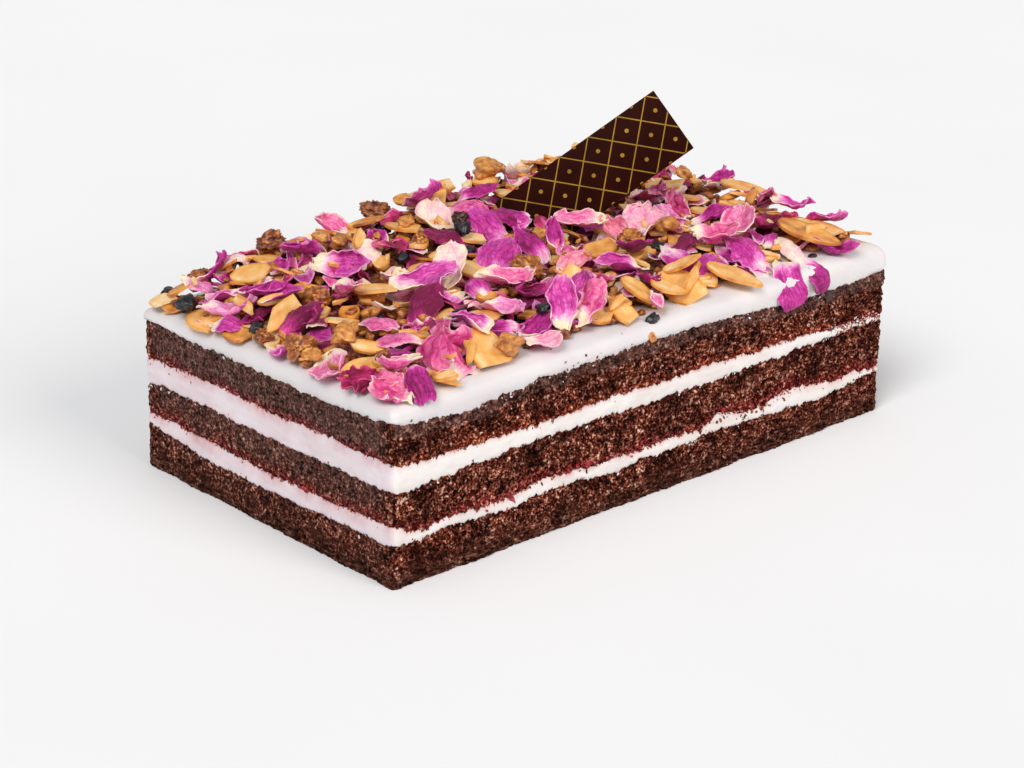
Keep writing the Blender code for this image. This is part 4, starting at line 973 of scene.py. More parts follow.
PLACED = (
    ("petal", 100, 4, 20, 18, 12, "magenta"), ("petal", 102, -17, -100, 12, 66, "crinkled pink"),
    ("flake", 79, 9, -42, 17, 8, "gold"), ("flake", 80, -11, -60, 15, 5, "gold"),
    ("petal", 61, -11, 87, 15, 20, "light"), ("petal", 46, -9, 19, 22, 12, "pale"),
    ("petal", 34, -10, 88, 15, 25, "salmon"), ("petal", 31, -47, -86, 23, -8, "orchid"),
    ("petal", 40, -34, 0, 17, 30, "deep"), ("petal", 53, -39, -42, 15, 20, "crinkled pink"),
    ("petal", 65, -40, 17, 16, 25, "pink"), ("petal", 60, -53, 95, 22, 12, "orchid"),
    ("petal", 77, -54, -95, 16, -6, "cream"), ("petal", 90, -57, -54, 20, -10, "magenta"),
    ("flake", 42, -59, -63, 19, -6, "gold"), ("flake", 96, -50, -66, 21, 4, "gold"),
    ("flake", 87, -52, -64, 22, -4, "toast"), ("flake", 109, -57, -7, 15, -6, "gold"),
    ("petal", 104, -43, -71, 21, 14, "orchid"), ("petal", 104, -28, -55, 16, 0, "orchid"),
    ("flake", 22, -56, -88, 23, -4, "gold"), ("flake", 27, -49, -35, 13, 6, "gold"),
    ("petal", 12, -48, -131, 16, 24, "deep"), ("flake", -6, -50, -42, 13, 4, "gold"),
    ("flake", 2, -54, -76, 15, -6, "gold"), ("flake", 12, -57, -29, 12, -4, "gold"),
    ("flake", -9, -59, -83, 14, -14, "gold"), ("flake", -17, -56, -31, 13, -8, "gold"),
    ("petal", 22, -31, -89, 14, 22, "deep"), ("petal", 9, -38, 166, 19, 10, "orchid"),
    ("petal", 85, -33, -42, 17, 18, "crinkled deep"), ("petal", 69, -23, -47, 16, 12, "magenta"),
    ("nugget", 51, -19, 20, 11, 0, "rosy"), ("petal", -10, 42, -79, 19, 24, "orchid"),
    ("petal", 0, 31, -28, 20, 10, "pink"), ("petal", 1, 17, 113, 19, 26, "orchid"),
    ("flake", 6, 56, -47, 15, 12, "toast"), ("flake", -2, 51, -42, 22, 4, "gold"),
    ("petal", 13, 42, -20, 16, 16, "magenta"), ("nugget", 31, 54, 30, 17, 0, "gold"),
    ("petal", -17, -6, 36, 22, 20, "orchid"), ("petal", 0, -4, 96, 16, 26, "magenta"),
    ("nugget", -16, -18, 60, 14, 0, "walnut"), ("flake", -12, -38, 22, 17, 32, "gold"),
    ("petal", -19, -48, 29, 22, 12, "orchid"), ("petal", -27, -35, 159, 16, 14, "deep"),
    ("petal", -33, -25, -34, 19, 8, "pink"), ("petal", -55, -9, -7, 23, 10, "orchid"),
    ("petal", -67, -24, 22, 19, 30, "deep"), ("petal", -41, -7, 43, 21, 26, "cream"),
    ("petal", -57, -50, 167, 16, 20, "magenta"), ("flake", -55, -42, -42, 14, 8, "gold"),
    ("petal", -48, -41, -79, 16, 10, "light"), ("flake", -69, -58, -105, 22, -14, "gold"),
    ("nugget", -63, -60, 10, 13, 0, "rosy"), ("petal", -48, -60, -17, 14, -4, "pale"),
    ("petal", -65, -46, 98, 15, 18, "orchid"), ("petal", -80, -54, 52, 20, 22, "crinkled pink"),
    ("petal", -102, -54, 138, 15, 6, "pink"), ("flake", -90, -61, -48, 12, -4, "gold"),
    ("petal", -31, -51, 47, 20, 22, "orchid"), ("petal", -22, -55, 6, 15, 18, "crinkled pink"),
    ("nugget", -8, 25, 40, 8, 0, "dark"), ("petal", 27, 0, 141, 19, 16, "pink"),
    ("petal", -95, 53, 0, 18, 6, "magenta"), ("petal", -108, 27, -66, 22, 2, "light"),
    ("petal", -102, 36, 150, 15, 6, "orchid"), ("flake", -89, 38, -76, 18, 4, "gold"),
    ("petal", -100, 20, -60, 15, 12, "magenta"), ("nugget", -72, 52, 0, 14, 0, "brown"),
    ("petal", -62, 55, -15, 17, 22, "light"), ("petal", -64, 22, -62, 20, 14, "orchid"),
    ("flake", -71, -6, -56, 17, 5, "gold"), ("petal", -78, 1, -104, 17, 14, "pink"),
    ("petal", -98, 12, -30, 14, 14, "magenta"), ("nugget", -102, -26, 50, 12, 0, "gold"),
    ("petal", -100, -6, -65, 19, 16, "deep"), ("petal", -42, 53, 109, 16, 24, "pink"),
    ("flake", -31, 47, -42, 14, 10, "toast"), ("petal", -86, 55, -63, 14, 18, "cream"),
    ("petal", -87, -24, -76, 16, 20, "pink"), ("nugget", -98, 56, 0, 8, 0, "brown"),
    ("flake", 100, -9, -48, 18, 6, "gold"), ("nugget", 98, 19, 0, 9, 0, "gold"),
    ("nugget", -22, 54, 0, 12, 0, "brown"), ("flake", 52, 51, 150, 15, 4, "gold"),
    ("flake", -107, 53, -10, 12, 4, "toast"), ("petal", -101, -1, 0, 18, 12, "deep"),
    ("flake", 5, 49, -60, 15, 12, "gold"), ("flake", -3, 45, -78, 16, 12, "gold"),
    ("flake", -10, 51, -83, 12, 8, "toast"), ("flake", -27, 10, 4, 15, 8, "gold"),
)
# Petals draped over the long edges: x, y and z of the middle, heading, length, width, and how it looks
HANGING = ((65.0, -67.3, 62.5, -98, 24, 14, "orchid"), (78.5, -67.0, 62.3, -82, 18, 10, "magenta"),
           (27.0, 66.8, 59.6, 84, 22, 13, "orchid"))
HANGING_RISE, HANGING_CURL, HANGING_CUP = -50.0, 2.2, 0.4
# Small pieces that lie on top of the rest
SMALL = (
    ("raisin", -12, 19, 60, 8, 0, "dark"), ("raisin", -108, 60, 20, 8, 0, "dark"),
    ("raisin", -111, 8, 10, 7, 0, "dark"), ("raisin", -60, -33, 30, 7, 0, "dark"),
    ("raisin", -37, -49, 90, 7, 0, "dark"), ("raisin", 38, -27, 0, 6, 0, "dark"),
    ("petal", 3, -60, -120, 9, 0, "pink"), ("petal", 9, -4, 60, 14, 30, "magenta"),
    ("flake", -91, -64, -18, 9, 0, "gold"), ("nugget", -103, -47, 0, 6, 0, "brown"),
)
# Broken flakes that stand on edge between the others: x, y, heading, length, and how it looks
ON_EDGE = ((90, -52, 5, 17, "gold"), (93, -19, 25, 14, "toast"), (25, -56, 21, 17, "gold"),
           (31, -52, 28, 12, "toast"), (-106, 20, -88, 14, "gold"), (-102, 5, 8, 25, "gold"),
           (-100, 13, -29, 11, "gold"), (-76, -57, 40, 12, "gold"), (-10, -56, 10, 12, "gold"),
           (48, 20, 60, 13, "gold"), (70, 30, -20, 14, "toast"), (-50, 30, 35, 13, "gold"))
EDGE_ROLL, EDGE_WIDTH = 66.0, 0.5    # degrees they lean over, and their width as a share of a whole one's
# Chips on the front side: kind, place along it, height, length, and how it looks
WALL_BITS = (("raisin", 114.5, 62.6, 7.5, "dark"), ("nugget", 112, 57.6, 5.5, "gold"),
             ("nugget", 181, 52.6, 7, "dark"), ("nugget", 200, 52.4, 6, "dark"))
FILL_SPACING, FILL_CLEAR, FILL_INSET, FILL_JITTER = 15.0 * MM, 9.0 * MM, 10.0 * MM, 3.5 * MM
BACK_COUNT, BACK_START_X, BACK_END_X = 36, -92.0, 108.0
BED_COUNT, BED_OVER, BED_MARGIN = 5000, 2.4 * MM, 9.0
BED_LEFT = 5.5                       # the bed's bits come this many millimetres nearer to the left end
# Seeds of the draws that mix the pieces, and the first seed of the pieces of each group
FILL_SEED, BACK_SEED, LOOKS_SEED, BED_SEED = 16, 5, 40, 77
PLACED_FIRST, HANGING_FIRST, BACK_FIRST, SMALL_FIRST, ON_EDGE_FIRST = 100, 300, 400, 500, 600
WALL_FIRST, LEFT_END_FIRST, FILL_FIRST, BED_FIRST = 700, 800, 900, 2000
# How often each look comes up
PETAL_LOOKS = (
    "deep", "deep", "magenta", "magenta", "orchid", "orchid", "pink", "pink", "light", "salmon", "cream",
    "crinkled deep", "crinkled deep", "crinkled pink")
FLAKE_LOOKS = ("gold", "gold", "gold", "toast", "toast", "pale")
NUGGET_LOOKS = ("gold", "gold", "brown", "brown", "walnut", "rosy")


def any_look(kind, draw):
    """A look for a piece of a kind."""
    looks = {"petal": PETAL_LOOKS, "flake": FLAKE_LOOKS, "nugget": NUGGET_LOOKS, "raisin": ("dark",)}
    return draw.choice(looks[kind])


def fill_pieces():
    """Whole pieces between the placed ones, on a jittered grid, in a random mix."""
    draw = random.Random(FILL_SEED)
    pieces = []
    columns, rows = int(LENGTH / FILL_SPACING), int(WIDTH / FILL_SPACING)
    reach_x, reach_y = HALF_LENGTH - FILL_INSET, HALF_WIDTH - FILL_INSET
    for column in range(columns):
        for row in range(rows):
            x = ((column + 0.5) / columns * 2.0 - 1.0) * reach_x + draw.uniform(-FILL_JITTER, FILL_JITTER)
            y = ((row + 0.5) / rows * 2.0 - 1.0) * reach_y + draw.uniform(-FILL_JITTER, FILL_JITTER)
            kind = draw.choices(("petal", "flake", "nugget"), (5, 4, 2))[0]
            heading, rise = draw.uniform(0.0, 360.0), draw.uniform(0.0, 18.0)
            size = draw.uniform(7.0, 11.0) if kind == "nugget" else draw.uniform(13.0, 18.0)
            near = min(math.hypot(x - place[1] * MM, y - place[2] * MM) for place in LEFT_END + PLACED)
            if near > FILL_CLEAR:
                seed = FILL_FIRST + len(pieces)
                pieces.append(piece_shape(kind, x / MM, y / MM, heading, size, rise, seed))
    return pieces


def back_row():
    """Whole pieces along the foot of the heap's steep back."""
    draw = random.Random(BACK_SEED)
    pieces = []
    for index in range(BACK_COUNT):
        kind = draw.choices(("petal", "flake", "nugget"), (5, 4, 3))[0]
        size = draw.uniform(7.0, 10.0) if kind == "nugget" else draw.uniform(12.0, 16.0)
        x = BACK_START_X + (index + 0.5) / BACK_COUNT * (BACK_END_X - BACK_START_X) + draw.uniform(-2.0, 2.0)
        y = SHORT_MARK / 2 - draw.uniform(6.5, 10.5)
        heading, rise = draw.uniform(0.0, 360.0), draw.uniform(-4.0, 10.0)
        piece = piece_shape(kind, x, y, heading, size, rise, BACK_FIRST + index)
        pieces.append(piece | {"look": any_look(kind, draw)})
    return pieces


def listed(rows, first_seed):
    """The pieces that rows of a list describe."""
    return [piece_shape(*place, first_seed + index) | {"look": look}
            for index, (*place, look) in enumerate(rows)]


def lay_whole_pieces():
    """Every whole piece with its matrix, in the order they are laid."""
    field = HeightField(0.0, 0.0)
    looks = random.Random(LOOKS_SEED)
    pieces = listed(LEFT_END, LEFT_END_FIRST) + back_row()
    pieces += [piece | {"look": any_look(piece["kind"], looks)} for piece in fill_pieces()]
    pieces += listed(PLACED, PLACED_FIRST)
    laid = [(piece | {"size": "whole"}, field.lay(piece)) for piece in pieces]
    for index, (x, y, z, heading, length, width, look) in enumerate(HANGING):
        piece = piece_shape("petal", x, y, heading, length, HANGING_RISE, HANGING_FIRST + index)
        turn = turned(heading - 90.0, "Z") @ turned(HANGING_RISE, "X") @ turned(180.0, "Y")
        piece |= {
            "curl": HANGING_CURL, "cup": HANGING_CUP, "width": width * MM, "look": look, "size": "whole"}
        laid.append((piece, Matrix.Translation((x * MM, y * MM, z * MM)) @ turn))
    laid += [(piece | {"size": "small"}, field.lay(piece)) for piece in listed(SMALL, SMALL_FIRST)]
    for index, (x, y, heading, length, look) in enumerate(ON_EDGE):
        piece = piece_shape("flake", x, y, heading, length, 4, ON_EDGE_FIRST + index)
        piece |= {"width": piece["width"] * EDGE_WIDTH, "roll": EDGE_ROLL, "look": look, "size": "small"}
        laid.append((piece, field.lay(piece)))
    return laid


def lay_bed():
    """Small broken bits that fill the heap under and between the whole pieces."""
    draw = random.Random(BED_SEED)
    field = HeightField(BED_DROP, BED_INSET)
    laid = []
    for index in range(BED_COUNT):
        share = index / BED_COUNT
        kind = draw.choices(("petal", "flake", "nugget", "raisin"), (22, 14, 13, 0.8))[0]
        length = 14.0 - 5.5 * share if kind in ("petal", "flake") else 7.0 - 3.0 * share
        length *= draw.uniform(0.8, 1.15)
        x = draw.uniform(-1.0, 1.0) * (LONG_MARK / 2 - BED_MARGIN)
        y = draw.uniform(-1.0, 1.0) * (SHORT_MARK / 2 - BED_MARGIN)
        if index % 5 == 0:
            y = math.copysign(SHORT_MARK / 2 - draw.uniform(8.0, 16.0), y)
        elif index % 5 == 1:
            x = math.copysign(LONG_MARK / 2 - draw.uniform(8.0, 16.0), x) - BED_LEFT * (x < 0.0)
        heading, rise = draw.uniform(0.0, 360.0), draw.uniform(-4.0, 20.0)
        piece = piece_shape(kind, x, y, heading, length, rise, BED_FIRST + index)
        piece |= {"look": any_look(kind, draw), "size": "bed"}
        if kind == "flake" and index % 3 == 0:
            piece["width"] *= 0.35
        if rim_distance(x * MM, y * MM) > min(heap_margins(x * MM, y * MM)) + piece["length"] * 0.3:
            matrix = field.lay(piece, heap_height(x * MM, y * MM) + BED_OVER)
            if matrix is not None:
                laid.append((piece, matrix))
    return laid


def lay_wall_bits():
    """Chips that cling to the front side, flat against it."""
    laid = []
    for index, (kind, place, height, length, look) in enumerate(WALL_BITS):
        point, _ = on_wall("front", place, height)
        piece = piece_shape(kind, 0.0, 0.0, 0.0, length, 0.0, WALL_FIRST + index)
        piece |= {"look": look, "size": "small"}
        turn = turned(90.0, "X") @ Matrix.Rotation(piece["phase"], 4, "Z")
        laid.append((piece, Matrix.Translation(point) @ turn))
    return laid


laid_pieces = lay_bed() + lay_whole_pieces() + lay_wall_bits()


def laid_of(kind, *sizes):
    """The laid pieces of a kind and of some sizes."""
    return [(piece, place) for piece, place in laid_pieces
            if piece["kind"] == kind and piece["size"] in sizes]


# ---- Topping: the bed ----------------------------------------------------------------------
# Chopped nuts and petal dust that fill the heap from below. Grains finer than rice are relief.
BED_CELL = 1.1 * MM


def bed():
    """The bed: a lumpy top, a skirt down to the cream, and a flat underside."""
    bed_shape = bmesh.new()
    cells_x, cells_y = int(LENGTH / BED_CELL), int(WIDTH / BED_CELL)
    bmesh.ops.create_grid(bed_shape, x_segments=cells_x, y_segments=cells_y, size=1.0)
    rim = [edge for edge in bed_shape.edges if edge.is_boundary]
    skirt = bmesh.ops.extrude_edge_only(bed_shape, edges=rim)["geom"]
    low = {item for item in skirt if isinstance(item, bmesh.types.BMVert)}
    for vertex in bed_shape.verts:
        part_x, part_y = vertex.co.x, vertex.co.y
        margin_x, margin_y = heap_margins(part_x * HALF_LENGTH, part_y * HALF_WIDTH)
        half_x = HALF_LENGTH - BED_INSET - margin_x + LEFT_REACH * (part_x < 0)
        half_y = HALF_WIDTH - BED_INSET - margin_y
        x, y = part_x * half_x, part_y * half_y
        spot = Vector((x, y, 0.0))
        grain = noise.voronoi(spot * 260.0)[0][0]
        grit = noise.noise(spot * 700.0) * 0.3
        rise = (1.4 - 2.2 * grain + grit) * MM
        edge = min((1.0 - abs(part_x)) * half_x, (1.0 - abs(part_y)) * half_y)
        ground = cream_top_height(x, y)
        top = ground + (heap_height(x, y, BED_DROP) + rise - ground) * bed_climb(edge)
        vertex.co = (x, y, ground - 0.8 * MM if vertex in low else top)
    close_ends(bed_shape)
    return bed_shape


# Chopped nuts and petal crumbs: a mottle of wine red, brown and gold, with crumbs about 4 mm across.
bed_material, tree, shader = new_material("chopped nut and petal crumb", {"Roughness": 0.7, "IOR": 1.45})
place = add_node(tree, "TexCoord", gives="Object")
grains = add_node(tree, "TexVoronoi", {"Vector": place, "Scale": 330.0}, gives="Color")
grain_pick = add_node(tree, "SeparateColor", {"Color": grains})
grain_tint = add_node(tree, "ValToRGB", {"Fac": grain_pick}, stops=(
    (0.0, "7A3020"), (0.2, "AE6838"), (0.38, "A43056"), (0.52, "C8864A"), (0.66, "642414"), (0.78, "DCA45E"),
    (0.9, "BC4C70")))
grit = add_node(tree, "TexNoise", {"Vector": place, "Scale": 900.0, "Detail": 3.0})
grit_tint = add_node(tree, "ValToRGB", {"Fac": grit}, stops=((0.35, "6E5A54"), (0.6, "FFFFFF")))
mottle = add_node(
    tree, "Mix", {"Factor": 1.0, 6: grain_tint, 7: grit_tint}, data_type="RGBA", blend_type="MULTIPLY")
grain_bump = add_node(tree, "Bump", {"Height": grit, "Strength": 0.8, "Distance": 0.8 * MM})
fill_sockets(tree, shader, {"Base Color": mottle, "Normal": grain_bump})

heap_bed = finish_piece("heap_bed", bed(), bed_material)
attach(heap_bed, "root")
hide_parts("topping_heap")


# ---- Topping: petals -----------------------------------------------------------------------
# Dried rose petals: thin, cupped sheets that crinkled and rolled up at their rims as they dried,
# with veins that fan out from a cream heel to a pink or magenta tip. Some are torn.
PETAL_THICKNESS = 0.35 * MM
PETAL_CELLS = {"whole": (18, 20), "small": (10, 12), "bed": (6, 8)}
# Look: tone of the tip and of the heel, from 0 cream to 1 dark, how much it is crinkled, and its
# warmth, from 0 purple to 1 red
PETAL_TONES = {
    "deep": (1.0, 0.6, 1.0, 0.4), "magenta": (0.84, 0.2, 1.0, 0.1), "orchid": (0.68, 0.04, 0.9, 0.1),
    "pink": (0.52, 0.06, 1.0, 0.6), "light": (0.4, 0.0, 0.9, 0.3), "pale": (0.28, 0.1, 1.2, 0.6),
    "salmon": (0.4, 0.16, 0.9, 1.0), "cream": (0.16, 0.0, 0.8, 0.6), "crinkled deep": (0.9, 0.5, 3.0, 0.8),
    "crinkled pink": (0.6, 0.1, 3.0, 0.7),
}
FOLD_WIDTH, CREASE_WIDTH = 6.0 * MM, 2.0 * MM
FOLD_DEPTH, CREASE_DEPTH = 1.5 * MM, 0.5 * MM
SIDE_ROLLS = (0.2, 0.6, 1.2, 2.4)    # how far a side may roll up, in radians
PETAL_LENGTH = 18.0 * MM             # a petal of this length crinkles as deep as the folds and creases say
DARK_TIP = 0.45                      # petals with a darker tip than this have a paler back, and their rim drawn paler as painted highlight
OUTSIDE_PALER = 0.08                 # a petal's back is paler than its face by this much tone
PETAL_UV = 10.0 * MM
noise.seed_set(4)                    # noise vectors start from the clock otherwise, and crinkle anew each run


def make_petal(piece):
    """A petal from a flat sheet: rolled at its rims, crinkled, ragged at its tip, given its thickness."""
    tip, heel, crinkle, warmth = PETAL_TONES[piece["look"]]
    petal = marked_shape()
    tone_mark, warmth_mark = petal.verts.layers.float["tone"], petal.verts.layers.float["warmth"]
    petal_uv = petal.loops.layers.uv["UVMap"]
    across, down = PETAL_CELLS[piece["size"]]
    bmesh.ops.create_grid(petal, x_segments=across, y_segments=down, size=1.0)
    draw = random.Random(int(piece["phase"] * 1e6))
    rolls = {side: draw.choice(SIDE_ROLLS) for side in (-1.0, 1.0)}
    tip_roll, notch = draw.uniform(-0.6, 1.6), draw.uniform(-0.04, 0.08)
    own = own_patch(draw)
    size = piece["length"] / PETAL_LENGTH
    flat = {}
    for vertex in petal.verts:
        side, part = vertex.co.x, vertex.co.y / 2 + 0.5
        flat[vertex] = (side * piece["width"] / 2, part * piece["length"])
        on_sheet = Vector((*flat[vertex], 0.0))
        edge_spot = Vector((part * 3.5, math.copysign(4.0, side), 0.0)) + own
        edge_wave = 1.0 + 0.12 * noise.noise(edge_spot) + 0.05 * noise.noise(edge_spot * 3.1)
        tear = 0.07 * noise.noise(Vector((side * 2.5, 7.0, 0.0)) + own)
        tear += 0.04 * noise.noise(Vector((side * 7.0, 5.0, 0.0)) + own)
        blunt = 0.13 * abs(side) ** 3 + notch * math.exp(-(side / 0.3) ** 2)
        reach = part - part ** 3 * blunt + part * tear
        roll = rolls[math.copysign(1.0, side)] * (0.6 + 1.6 * noise.noise(edge_spot * 0.4)) * ease(part * 2.0)
        own_tip_roll = tip_roll * (0.7 + noise.noise(edge_spot * 0.5))
        point = sheet_point(piece, side * edge_wave, reach, roll, own_tip_roll)
        folds = noise.noise_vector(on_sheet / FOLD_WIDTH + own) * FOLD_DEPTH
        creases = noise.noise_vector(on_sheet / CREASE_WIDTH + own) * CREASE_DEPTH
        ridge = abs(noise.noise(on_sheet / FOLD_WIDTH * 1.6 + own)) * FOLD_DEPTH * 0.7
        vertex.co = point + (folds + creases + Vector((0.0, 0.0, ridge))) * crinkle * size
        fade = ease((part - 0.03) / 0.42 + 0.3 * noise.noise(on_sheet / FOLD_WIDTH + own * 2.0))
        # Painted highlight: the rim is drawn paler, more so on dark petals.
        rim = max(abs(side), part) ** 16 * (0.28 if tip > DARK_TIP else 0.08)
        vertex[warmth_mark] = warmth
        mottle = 0.08 * noise.noise(on_sheet / CREASE_WIDTH + own)
        vertex[tone_mark] = heel + (tip - heel) * fade - rim + mottle
    for face in petal.faces:
        for loop in face.loops:
            loop[petal_uv].uv = (flat[loop.vert][0] / PETAL_UV, flat[loop.vert][1] / PETAL_UV)
    for outer in thicken(petal, PETAL_THICKNESS):
        outer[tone_mark] -= OUTSIDE_PALER * (tip > DARK_TIP)
    return petal


# Dried rose petal: a soft satin skin with fanned veins about 1 mm apart and a finer net of veins
# between them, which drew in and crinkled as it dried. Its UV map is in units of 10 mm.
petal_material, tree, shader = new_material("dried rose petal", {
    "Roughness": 0.6, "Specular IOR Level": 0.25, "IOR": 1.45, "Sheen Weight": 0.1, "Subsurface Weight": 0.2,
    "Subsurface Scale": 0.6 * MM})
petal_map = add_node(tree, "UVMap", uv_map="UVMap")
place = add_node(tree, "TexCoord", gives="Object")
own_place = add_node(tree, "Mapping", {"Vector": place, "Scale": (20.0, 20.0, 20.0)})
fan_place = add_node(tree, "Mapping", {"Vector": petal_map, "Scale": (13.0, 0.9, 1.0)})
fan_spot = add_node(tree, "VectorMath", {0: fan_place, 1: own_place}, operation="ADD")
fan = add_node(tree, "TexNoise", {"Vector": fan_spot, "Scale": 1.0, "Detail": 3.0, "Roughness": 0.6})
net_bend = add_node(tree, "TexNoise", {"Vector": place, "Scale": 500.0, "Detail": 1.0}, gives="Color")
net_place = add_node(tree, "Mapping", {"Vector": petal_map, "Scale": (10.0, 6.0, 1.0)})
net_spot = add_node(tree, "Mix", {"Factor": 0.35, 4: net_place, 5: net_bend}, data_type="VECTOR")
net = add_node(tree, "TexVoronoi", {"Vector": net_spot, "Scale": 1.0}, feature="DISTANCE_TO_EDGE")
net_line = add_node(tree, "MapRange", {
    "Value": net, "From Min": 0.0, "From Max": 0.16, "To Min": 1.0, "To Max": 0.0})
blotch = add_node(tree, "TexNoise", {"Vector": place, "Scale": 330.0, "Detail": 3.0})
tone = add_node(tree, "Attribute", gives="Fac", attribute_name="tone")
fan_shift = add_node(tree, "MapRange", {
    "Value": fan, "From Min": 0.3, "From Max": 0.7, "To Min": -0.13, "To Max": 0.12})
net_shift = add_node(tree, "Math", {0: net_line, 1: 0.13}, operation="MULTIPLY")
blotch_shift = add_node(tree, "MapRange", {
    "Value": blotch, "From Min": 0.3, "From Max": 0.7, "To Min": -0.09, "To Max": 0.08})
veins = add_node(tree, "Math", {0: fan_shift, 1: net_shift}, operation="ADD")
vein_share = add_node(tree, "MapRange", {
    "Value": tone, "From Min": 0.1, "From Max": 0.55, "To Min": 0.3, "To Max": 1.0})
faded_veins = add_node(tree, "Math", {0: veins, 1: vein_share}, operation="MULTIPLY")
veined = add_node(tree, "Math", {0: tone, 1: faded_veins}, operation="ADD")
blotched = add_node(tree, "Math", {0: veined, 1: blotch_shift}, operation="ADD")
purple_tint = add_node(tree, "ValToRGB", {"Fac": blotched}, stops=(
    (0.0, "FCE8C2"), (0.12, "FDE4D8"), (0.25, "F8BEDC"), (0.44, "E87CC4"), (0.62, "CE42A6"), (0.8, "AC1F80"),
    (1.0, "760E4A")))
red_tint = add_node(tree, "ValToRGB", {"Fac": blotched}, stops=(
    (0.0, "FBE6C0"), (0.12, "FDE0CE"), (0.25, "F8B8C2"), (0.44, "EA7894"), (0.62, "D04070"), (0.8, "AA1E4E"),
    (1.0, "740E2A")))
warmth = add_node(tree, "Attribute", gives="Fac", attribute_name="warmth")
petal_tint = add_node(tree, "Mix", {"Factor": warmth, 6: purple_tint, 7: red_tint}, data_type="RGBA")
fan_bump = add_node(tree, "Bump", {"Height": fan, "Strength": 0.6, "Distance": 0.5 * MM})
net_bump = add_node(tree, "Bump", {
    "Height": net_line, "Strength": 0.5, "Distance": 0.2 * MM, "Normal": fan_bump})
fill_sockets(tree, shader, {"Base Color": petal_tint, "Normal": net_bump})

petals = finish_piece(
    "rose_petals", gather(laid_of("petal", "whole", "small"), make_petal), petal_material, 50.0)
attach(petals, "root")
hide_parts("topping_heap")

scraps = finish_piece("petal_scraps", gather(laid_of("petal", "bed"), make_petal), petal_material, 50.0)
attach(scraps, "root")
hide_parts("topping_heap")


# ---- Topping: almond flakes ----------------------------------------------------------------
# Almonds sliced about a millimetre thick and toasted in sugar: flat, slightly bent ovals, golden
# in the middle and browner at the rim, some broken across.
FLAKE_THICKNESS = 0.9 * MM
FLAKE_CELLS = {"whole": (8, 12), "small": (6, 8), "bed": (4, 5)}
FLAKE_TONES = {"gold": 0.22, "toast": 0.44, "pale": 0.06}


def make_flake(piece):
    """An almond flake from a flat sheet: one end pointed, bent a little, often snapped across."""
    flake = marked_shape()
    tone_mark = flake.verts.layers.float["tone"]
    across, down = FLAKE_CELLS[piece["size"]]
    bmesh.ops.create_grid(flake, x_segments=across, y_segments=down, size=1.0)
    draw = random.Random(int(piece["phase"] * 1e6))
    own = own_patch(draw)
    for vertex in flake.verts:
        side, part = vertex.co.x, vertex.co.y / 2 + 0.5
        edge_spot = Vector((part * 2.0, math.copysign(3.0, side), 0.0)) + own
        wave = 1.0 + 0.14 * noise.noise(edge_spot) + 0.05 * noise.noise(edge_spot * 3.0) - 0.3 * part ** 4
        reach = min(max(part - 0.05 * part ** 3 * side * side, 0.0), 1.0)
        point = sheet_point(piece, side * wave, reach)
        bend = noise.noise(Vector((side * 0.8, part * 1.6, 0.0)) + own) * 0.5 * MM
        vertex.co = Vector((point.x, point.y, point.z * 0.35 + bend))
        rim = max(abs(side), abs(2.0 * part - 1.0)) ** 14
        mottle = 0.2 * noise.noise(Vector((side * 1.8, part * 2.8, 0.0)) + own)
        vertex[tone_mark] = FLAKE_TONES[piece["look"]] + 0.24 * rim + mottle
    snaps = draw.choice((0, 1, 1, 2) if piece["size"] == "whole" else (1, 2, 2))
    for snap in range(snaps):
        lean = draw.uniform(-0.7, 0.7) + math.pi / 2 * (1 if snap == 0 else draw.choice((-1, 0, 2)))
        normal = Vector((math.cos(lean), math.sin(lean), 0.0))
        far = normal * piece["length"] * draw.uniform(0.2, 0.34) * (0.6 if abs(normal.x) > 0.7 else 1.0)
        bmesh.ops.bisect_plane(
            flake, geom=[*flake.verts, *flake.edges, *flake.faces], dist=0.0, plane_co=far, plane_no=normal,
            clear_outer=True)
    thicken(flake, FLAKE_THICKNESS)
    return flake


# Toasted almond in caramel: warm gold with a thin sugar gloss, browner where it caught the heat.
almond_material, tree, shader = new_material("caramelised almond", {
    "Roughness": 0.42, "IOR": 1.47, "Coat Weight": 0.2, "Coat Roughness": 0.25, "Subsurface Weight": 0.15,
    "Subsurface Scale": 0.8 * MM})
place = add_node(tree, "TexCoord", gives="Object")
toast_spots = add_node(tree, "TexNoise", {"Vector": place, "Scale": 260.0, "Detail": 4.0})
toast_shift = add_node(tree, "MapRange", {
    "Value": toast_spots, "From Min": 0.3, "From Max": 0.7, "To Min": -0.14, "To Max": 0.16})
tone = add_node(tree, "Attribute", gives="Fac", attribute_name="tone")
toasted = add_node(tree, "Math", {0: tone, 1: toast_shift}, operation="ADD")
almond_tint = add_node(tree, "ValToRGB", {"Fac": toasted}, stops=(
    (0.0, "FBDFAC"), (0.2, "F7C074"), (0.42, "ECA44C"), (0.62, "CC7C2E"), (0.82, "98521C"), (1.0, "5E260A")))
grain = add_node(tree, "TexNoise", {"Vector": place, "Scale": 700.0, "Detail": 3.0})
grain_bump = add_node(tree, "Bump", {"Height": grain, "Strength": 0.35, "Distance": 0.4 * MM})
fill_sockets(tree, shader, {"Base Color": almond_tint, "Normal": grain_bump})

flakes = finish_piece(
    "almond_flakes", gather(laid_of("flake", "whole", "small", "bed"), make_flake), almond_material, 45.0)
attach(flakes, "root")
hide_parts("topping_heap")


# ---- Topping: nut clusters -----------------------------------------------------------------
# Walnut and hazelnut pieces clumped with caramel: deeply furrowed lumps, golden brown on their ridges, with
# painted shade darkening their furrows.
NUGGET_FACES = {"whole": 4, "small": 3, "bed": 2}
# Look: tone, from 0 black to 1 gold, how deep its furrows are, and how many planes it broke along
NUGGET_MAKES = {"gold": (0.68, 0.12, 10), "brown": (0.48, 0.3, 3), "walnut": (0.62, 0.32, 2),
                     "rosy": (0.6, 0.1, 9), "dark": (0.12, 0.25, 6)}


